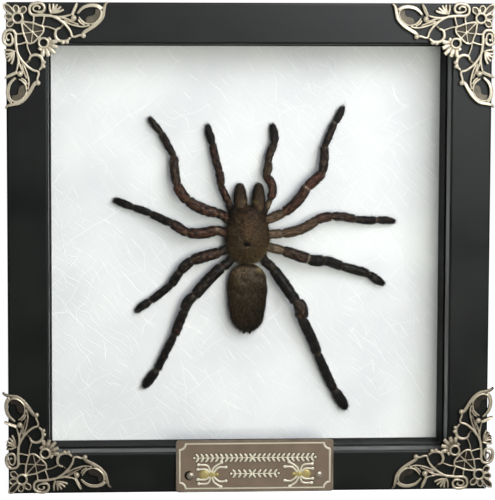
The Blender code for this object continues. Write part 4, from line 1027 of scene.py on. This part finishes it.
def growLimb(name, limb, chance):
    # one limb: a tube of segments with pinched joints, two claws, and its hair
    rows = limbStations(limb)
    path = onPaper(rows[:, :3])
    share = spider["skinShare"]
    body = tubeAlong([tuple(p) for p in path], mm, [r * share for r in rows[:, 3]], sides=5)
    places = vertexArray(body)
    near = ((places[:, None] - path[None]) ** 2).sum(2).argmin(1)
    tangent = unit(np.gradient(path, axis=0))
    out = unit(places - path[near])
    ripple = np.array([noise.noise(Vector(p) * 700) + 0.5 * noise.noise(Vector(p) * 1900) for p in places])
    places += out * (ripple * spider["ripple"] * mm)[:, None]
    setVertices(body, places)
    last = rows[-1, 5]
    segment = np.clip(rows[:, 5], 0, last - 1).astype(int)
    travelled = np.append(0, np.cumsum(np.linalg.norm(np.diff(path, axis=0), axis=1))) / mm
    front = np.tile((0.0, -1.0, 0.0), (len(places), 1))
    turned = np.arctan2((out * unit(np.cross(tangent[near], front))).sum(1), -out[:, 1])
    # painted shade: where a limb's skin turns away from the front, towards its flanks and the paper, it is
    # blackened and its pale places dimmed
    flankShade = np.clip((0.84 + out[:, 1]) / 0.5, 0, 1)
    dark, red = (np.convolve(np.pad(np.array(limb[key])[segment], 2, "edge"), np.ones(5) / 5, "valid")
                 for key in ("dark", "red"))
    pale = np.array([*limb.get("tan", ()), *[0.0] * len(limb["dark"])])[segment]
    pale = np.maximum(pale, rows[:, 4] * 0.12)
    for joint, strength in limb.get("rings", ()):
        gap = travelled - travelled[np.abs(rows[:, 5] - joint).argmin()]
        pale = np.maximum(pale, strength * np.exp(-(gap / 0.32) ** 2))
    shade = dark[near] + 1.1 * flankShade + 0.9 * (rows[:, 4] ** 6 * (1 - pale))[near]
    red = red[near]
    if "spot" in limb:
        spot = onPaper([(*limb["spot"], 0)])[0]
        rubbed = np.exp(-(np.hypot(places[:, 0] - spot[0], places[:, 2] - spot[2]) / (0.9 * mm)) ** 4)
        shade, red = shade * (1 - rubbed), np.maximum(red, rubbed * 2)
    setNumbers(body, shade=np.clip(shade, 0, 1.3), pale=pale[near] * (1 - 0.6 * flankShade), red=red,
               round=turned * rows[near, 3], down=travelled[near] * 0.28 + chance.uniform(0, 90))
    claws = []
    tip, ahead = path[-1], tangent[-1]
    sideways = unit(np.cross(ahead, (0, 1, 0))[None])[0]
    for sign in (-1, 1):
        points = [tip - ahead * 0.4 * mm + sideways * sign * 0.35 * mm,
                  tip + ahead * 0.25 * mm + sideways * sign * 0.5 * mm + np.array((0, -0.1, 0)) * mm,
                  tip + ahead * 0.6 * mm + sideways * sign * 0.4 * mm + np.array((0, 0.35, 0)) * mm]
        claws.append(tubeAlong([tuple(p) for p in points], 0.14 * mm, [1.0, 0.8, 0.15], sides=1))
        setNumbers(claws[-1], shade=1, pale=0)
    hairs = []
    for kind, (onLeg, onPalp, low, high, lift, thick, bends) in limbHairs.items():
        count = onPalp if name.startswith("palp") else onLeg
        at, outward, own = scatterOn(body, count, chance)
        at -= outward * spider["sunk"] * mm
        station = ((at[:, None] - path[None]) ** 2).sum(2).argmin(1)
        along = tangent[station]
        heading = unit(outward * lift + along + chance.normal(size=(count, 3)) * 0.22)
        lengths = chance.uniform(low, high, count) * mm * (0.75 + 0.5 * rows[station, 5] / last)
        under = outward[:, 1] > 0.6
        lengths[under] *= 0.6
        hairs.append(hairMesh(name + "_" + kind, at, heading, along, lengths, thick * mm, own, chance,
                              bends))
    body = joinAll([*claws, body], name + "_skin")
    return finishPiece(body, hairs, name + "_haired", limbSkin, limbHair)


chance = np.random.default_rng(11)
for name, limb in limbs.items():
    growLimb(name, limb, chance)
print("legs and palps grown")


def squared(values, power):
    # pushes values between -1 and 1 outwards, for a fuller oval
    return np.sign(values) * np.abs(values) ** power


def groove(across, along, start, end, wide):
    # how deep in a groove between two places each point lies, 0 to 1
    a, b = np.array(start, float), np.array(end, float)
    p = np.stack([across, along], 1)
    t = np.clip(((p - a) @ (b - a)) / ((b - a) @ (b - a)), 0, 1)
    gap = np.linalg.norm(p - a - t[:, None] * (b - a), axis=1)
    return np.exp(-(gap / wide) ** 2) * (1 - 0.5 * t)


def growCarapace(chance):
    # the shield: a raised head, grooves that run out from the middle pit, and eight eyes on a mound
    look = {"shrink": 0.965, "pit": (-0.8, -3.65), "eyes": (-0.5, 10.35),
            "furrows": [((6.2, 6.2), 0.75, 0.5), ((8.6, 0.8), 0.6, 0.26), ((8.2, -5.2), 0.6, 0.26),
                        ((4.6, -10.4), 0.6, 0.22)],
            # each eye's place from the middle of the mound, and its radius
            "eyeRow": [(-0.38, 0.25, 0.3), (0.38, 0.25, 0.3), (-0.95, 0.35, 0.26), (0.95, 0.35, 0.26),
                       (-0.85, -0.3, 0.2), (0.85, -0.3, 0.2), (-1.15, 0.0, 0.22), (1.15, 0.0, 0.22)],
            # how many hairs, shortest and longest in mm, and in how many steps they bend
            "hairs": {"fuzz": (26000, 0.5, 1.2, 1), "fringe": (2600, 1.2, 2.2, 2)}, "hairThick": 0.04}
    half = np.array(spider["carapaceHalf"]) * look["shrink"]
    body = ball("carapace_skin", 112, 72)
    p = vertexArray(body)
    x, y, z = squared(p[:, 0], 0.86), p[:, 1], p[:, 2]
    ahead = np.clip(y, 0, 1)
    blunt = np.where(y < 1, (1 - ahead ** 7) ** (1 / 7) / np.maximum(np.sqrt(1 - ahead ** 2), 0.01), 1)
    taper = 1 - 0.16 * np.clip(y / 0.5, 0, 1)
    head = np.clip((y - 0.25) / 0.75, 0, None)
    z = z * (1 + (blunt - 1) * 0.7)
    up = z > 0
    across, along = x * blunt * taper * half[0], squared(y, 0.9) * half[1]
    height = np.where(up, z * (1 + 0.12 * head), z) * half[2]
    top = np.clip(z, 0, 1) ** 0.5
    raised = 0.45 * np.exp(-(across / 4.3) ** 4 - ((along - 5.5) / 6.5) ** 4)
    for sign in (-1, 1):
        for (fx, fy), wide, deep in look["furrows"]:
            raised -= deep * groove(across, along, look["pit"], (sign * fx, fy), wide)
    curve = along - look["pit"][1] + 0.12 * across ** 2
    raised -= 0.7 * np.exp(-(across / 1.3) ** 4 - (curve / 0.42) ** 2)
    mound = ((across - look["eyes"][0]) / 1.35) ** 2 + ((along - look["eyes"][1]) / 0.85) ** 2
    raised += 0.75 * np.exp(-mound ** 2)
    rough = np.array([noise.noise(Vector((a, b, 3))) for a, b in zip(across * 0.9, along * 0.9)])
    raised += 0.1 * rough
    height = height + raised * top
    setVertices(body, onPaper(np.stack([across, along + spider["carapaceAlong"],
                                        height + spider["carapaceHeight"]], 1)))
    back = np.clip((-along - 1) / 9, 0, 1)
    edge = np.clip(np.hypot(across / half[0], along / half[1]) - 0.75, 0, 0.3) / 0.3
    fromPit = np.hypot(across - look["pit"][0], along - look["pit"][1])
    bearing = np.arctan2(along - look["pit"][1], across - look["pit"][0])
    # part of this is painted shade: the middle pit and the furrows darken by their depth
    shade = (0.36 - 0.2 * back - 0.16 * np.exp(-(across / 1.6) ** 2) * (along > -3) * (along < 7)
             + 0.9 * np.clip(-raised, 0, 1) + 0.15 * np.clip((along - 3) / 5, 0, 1)
             + 0.3 * edge * (1 - back))
    red = 0.3 + 0.5 * edge * (1 - back) + 0.5 * (along > 1) * np.exp(-(across / 3.5) ** 2)
    # painted shade: the underside and low sides of the shield are darkened
    setNumbers(body, shade=np.clip(shade + 0.5 * (z < 0.25), 0, 1), pale=0.25 * edge * back,
               red=np.clip(red, 0, 1), round=bearing * 4, down=fromPit * 0.9)
    eyes = []
    for ex, ey, size in look["eyeRow"]:
        eye = ball("eye", 12, 8)
        spot = (look["eyes"][0] + ex, look["eyes"][1] + ey)
        high = half[2] * math.sqrt(max(0, 1 - (spot[1] / half[1]) ** 2)) * 1.09 + 0.95
        centre = onPaper([(spot[0], spot[1] + spider["carapaceAlong"], high + spider["carapaceHeight"])])[0]
        setVertices(eye, vertexArray(eye) * size * mm + centre)
        setNumbers(eye, shade=1, pale=0)
        eyes.append(eye)
    hairs = []
    for kind, (count, low, high, bends) in look["hairs"].items():
        at, outward, own = scatterOn(body, count, chance)
        a = at[:, 0] / mm - spider["across"]
        b = (at[:, 2] - middleZ) / mm - spider["carapaceAlong"]
        radial = unit(np.stack([a - look["pit"][0], np.zeros(count), b - look["pit"][1]], 1))
        keep = (outward[:, 1] < 0.2) & (np.hypot(a / 1.3, (b - look["eyes"][1]) / 0.8) > 1)
        if kind == "fringe":
            rim = np.hypot(a / half[0], b / half[1])
            keep &= (rim > 0.88) & (b < 6)
            own["pale"] = np.clip(own["pale"] + 0.35 * (b < -3), 0, 1)
        heading = unit(outward * 0.42 + radial + chance.normal(size=(count, 3)) * 0.25)
        lengths = chance.uniform(low, high, count) * mm
        own["pale"] = own["pale"] + np.clip(chance.normal(0, 0.16, count), 0, 0.6)
        hairs.append(hairMesh("carapace_" + kind, at - outward * spider["sunk"] * mm, heading, radial * 0.6,
                              lengths, look["hairThick"] * mm, own, chance, bends, keep))
    # the eyes wear the hair's coat once they are joined, black by their shade
    setNumbers(*eyes, tint=0.5)
    return finishPiece(body, hairs + eyes, "carapace_haired", bodySkin, bodyHair)


def growAbdomen(chance):
    # a soft sac: blunt at the tail, wrinkled at the front, two spinnerets, longer hair behind
    look = {"shrink": 0.955, "spinnerets": [((-0.9, 3), (-1.1, 0.4), (-1.4, -1.3)),
                                            ((0.9, 3), (1.1, 0.4), (1.4, -1.3))],
            # how many hairs, shortest and longest in mm, how far they stand up, in how many steps they bend
            "hairs": {"fuzz": (30000, 0.6, 1.4, 0.4, 1), "bristle": (2600, 1.4, 2.6, 0.75, 2)},
            "hairThick": 0.04}
    half = np.array(spider["abdomenHalf"]) * look["shrink"]
    body = ball("abdomen_skin", 112, 80)
    p = vertexArray(body)
    front = np.clip(p[:, 1], 0, None)
    across = squared(p[:, 0], 0.82) * (1 + 0.33 * front) * half[0]
    along = np.sign(p[:, 1]) * np.abs(p[:, 1]) ** (0.94 - 0.1 * front) * half[1]
    height = squared(p[:, 2], 0.9) * half[2]
    lumps = np.array([noise.noise(Vector((a, b, c)) * 0.28) + 0.4 * noise.noise(Vector((a, b, c)) * 0.8)
                      for a, b, c in zip(across, along, height)])
    wrinkle = np.sin(along * 3.1 + across ** 2 * 0.05) * np.clip((along - 6) / 6, 0, 1) * 0.05
    crease = 0.3 * groove(across, along, (-8, 3.0), (-4.2, 4.4), 0.35)
    grow = lumps * 0.45 + wrinkle - crease
    shape = np.stack([across / half[0] ** 2, along / half[1] ** 2, height / half[2] ** 2], 1)
    outward = unit(shape)
    across, along, height = (np.stack([across, along, height], 1) + outward * grow[:, None]).T
    limit = spider["carapaceAlong"] - spider["abdomenAlong"] - spider["carapaceHalf"][1] + 0.3
    along = np.minimum(along, limit + across ** 2 * 0.012 + 0.4)
    setVertices(body, onPaper(np.stack([across, along + spider["abdomenAlong"],
                                        height + spider["abdomenHeight"]], 1)))
    left = np.clip(-across / half[0], -1, 1)
    low = np.clip(-along / half[1], -1, 1)
    # painted light and shade: lighter to the left and towards the head, darker towards the tail, darkened
    # underneath, and a painted shadow across the front where it meets the shield
    shade = 0.5 - 0.2 * left + 0.22 * low + 0.5 * (height < 0) + 0.5 * np.clip((along - 12.3) / 1.5, 0, 1)
    gold = np.exp(-((across - 5.6) / 1.9) ** 2 - ((along - 12.0) / 0.9) ** 2)
    rim = np.clip(left - 0.6, 0, 0.4) / 0.4
    setNumbers(body, shade=np.clip(shade, 0, 1), pale=0.6 * gold,
               red=0.15 + 0.75 * rim * np.clip(low + 0.6, 0, 1), round=across * 1.1, down=along * 0.7)
    fingers = []
    tail = spider["abdomenAlong"] - spider["abdomenHalf"][1]
    for line in look["spinnerets"]:
        points = onPaper([(a, tail + b + 0.3, 4.2) for a, b in softLine(line, 3)])
        finger = tubeAlong([tuple(q) for q in points], 0.85 * mm,
                           list(np.linspace(1, 0.45, len(points))), sides=4)
        setNumbers(finger, shade=0.8, pale=0)
        fingers.append(finger)
    hairs = []
    for kind, (count, low, high, lift, bends) in look["hairs"].items():
        at, out, own = scatterOn(body, count, chance)
        b = (at[:, 2] - middleZ) / mm - spider["abdomenAlong"]
        backward = np.tile((0.0, 0.0, -1.0), (count, 1))
        towardsTail = chance.random(count) < np.clip(0.35 - b / 20, 0.1, 1)
        keep = (out[:, 1] < 0.35) & ((kind == "fuzz") | towardsTail)
        heading = unit(out * lift + backward + chance.normal(size=(count, 3)) * 0.25)
        lengths = chance.uniform(low, high, count) * mm
        own["pale"] = own["pale"] + np.clip(chance.normal(-0.08, 0.14, count), 0, 0.5)
        hairs.append(hairMesh("abdomen_" + kind, at - out * spider["sunk"] * mm, heading, backward * 0.5,
                              lengths, look["hairThick"] * mm, own, chance, bends, keep))
    body = joinAll([*fingers, body], "abdomen_skin")
    return finishPiece(body, hairs, "abdomen_haired", bodySkin, bodyHair)


def growJaw(side, sign, chance):
    # a chelicera: a stout blunt finger whose inner edge carries a comb of hairs
    toe = math.sin(math.radians(spider["jawToeOut"]))
    start = spider["carapaceAlong"] + spider["carapaceHalf"][1]
    # its hairs: how many, shortest and longest in mm, how far they stand up, in how many steps they bend
    look = {"hairs": {"fuzz": (7000, 0.4, 0.9, 0.4, 1), "comb": (700, 0.8, 1.5, 0.9, 2)},
            "hairThick": 0.038}
    # how far along it is, and its share of the full radius there
    stations = [(-0.25, 0.8), (-0.1, 0.9), (0.02, 0.96), (0.14, 0.99), (0.25, 1.0), (0.37, 0.96),
                (0.5, 0.9), (0.62, 0.83), (0.72, 0.75), (0.81, 0.66), (0.88, 0.56), (0.93, 0.42),
                (0.955, 0.2)]
    points = [(spider["jawMiddle"] + sign * (spider["jawApart"] + toe * t * spider["jawLength"]),
               start + t * spider["jawLength"], 6.6 - 2.2 * t) for t, swell in stations]
    path = onPaper(points)
    body = tubeAlong([tuple(q) for q in path], spider["jawRadius"] * 0.95 * mm,
                     [swell for t, swell in stations], sides=7)
    places = vertexArray(body)
    near = ((places[:, None] - path[None]) ** 2).sum(2).argmin(1)
    far = np.array([t for t, swell in stations])[near]
    out = unit(places - path[near])
    inner, flankShade = out[:, 0] * -sign, np.clip((0.8 + out[:, 1]) / 0.5, 0, 1)
    spot = np.clip(0.6 - np.abs(far - 0.12) * 6, 0, 0.6) * np.clip(inner * 2, 0, 1)
    # painted shade: the flanks turned away from the front are darkened
    setNumbers(body, shade=np.clip(0.3 + 0.3 * far + 0.7 * flankShade, 0, 1), pale=spot, red=0.5 - 0.5 * far,
               round=out[:, 0] * 4, down=far * 3.2)
    tangent = unit(np.gradient(path, axis=0))
    hairs = []
    for kind, (count, low, high, lift, bends) in look["hairs"].items():
        at, out, own = scatterOn(body, count, chance)
        station = ((at[:, None] - path[None]) ** 2).sum(2).argmin(1)
        keep = (out[:, 0] * -sign > 0.55) if kind == "comb" else np.full(count, True)
        heading = unit(out * lift + tangent[station] + chance.normal(size=(count, 3)) * 0.2)
        lengths = chance.uniform(low, high, count) * mm
        hairs.append(hairMesh("jaw_" + kind, at - out * spider["sunk"] * mm, heading, tangent[station] * 0.4,
                              lengths, look["hairThick"] * mm, own, chance, bends, keep))
    return finishPiece(body, hairs, "chelicera_" + side + "_haired", bodySkin, bodyHair)


growCarapace(chance)
growAbdomen(chance)
growJaw("left", -1, chance)
growJaw("right", 1, chance)
print("body grown")
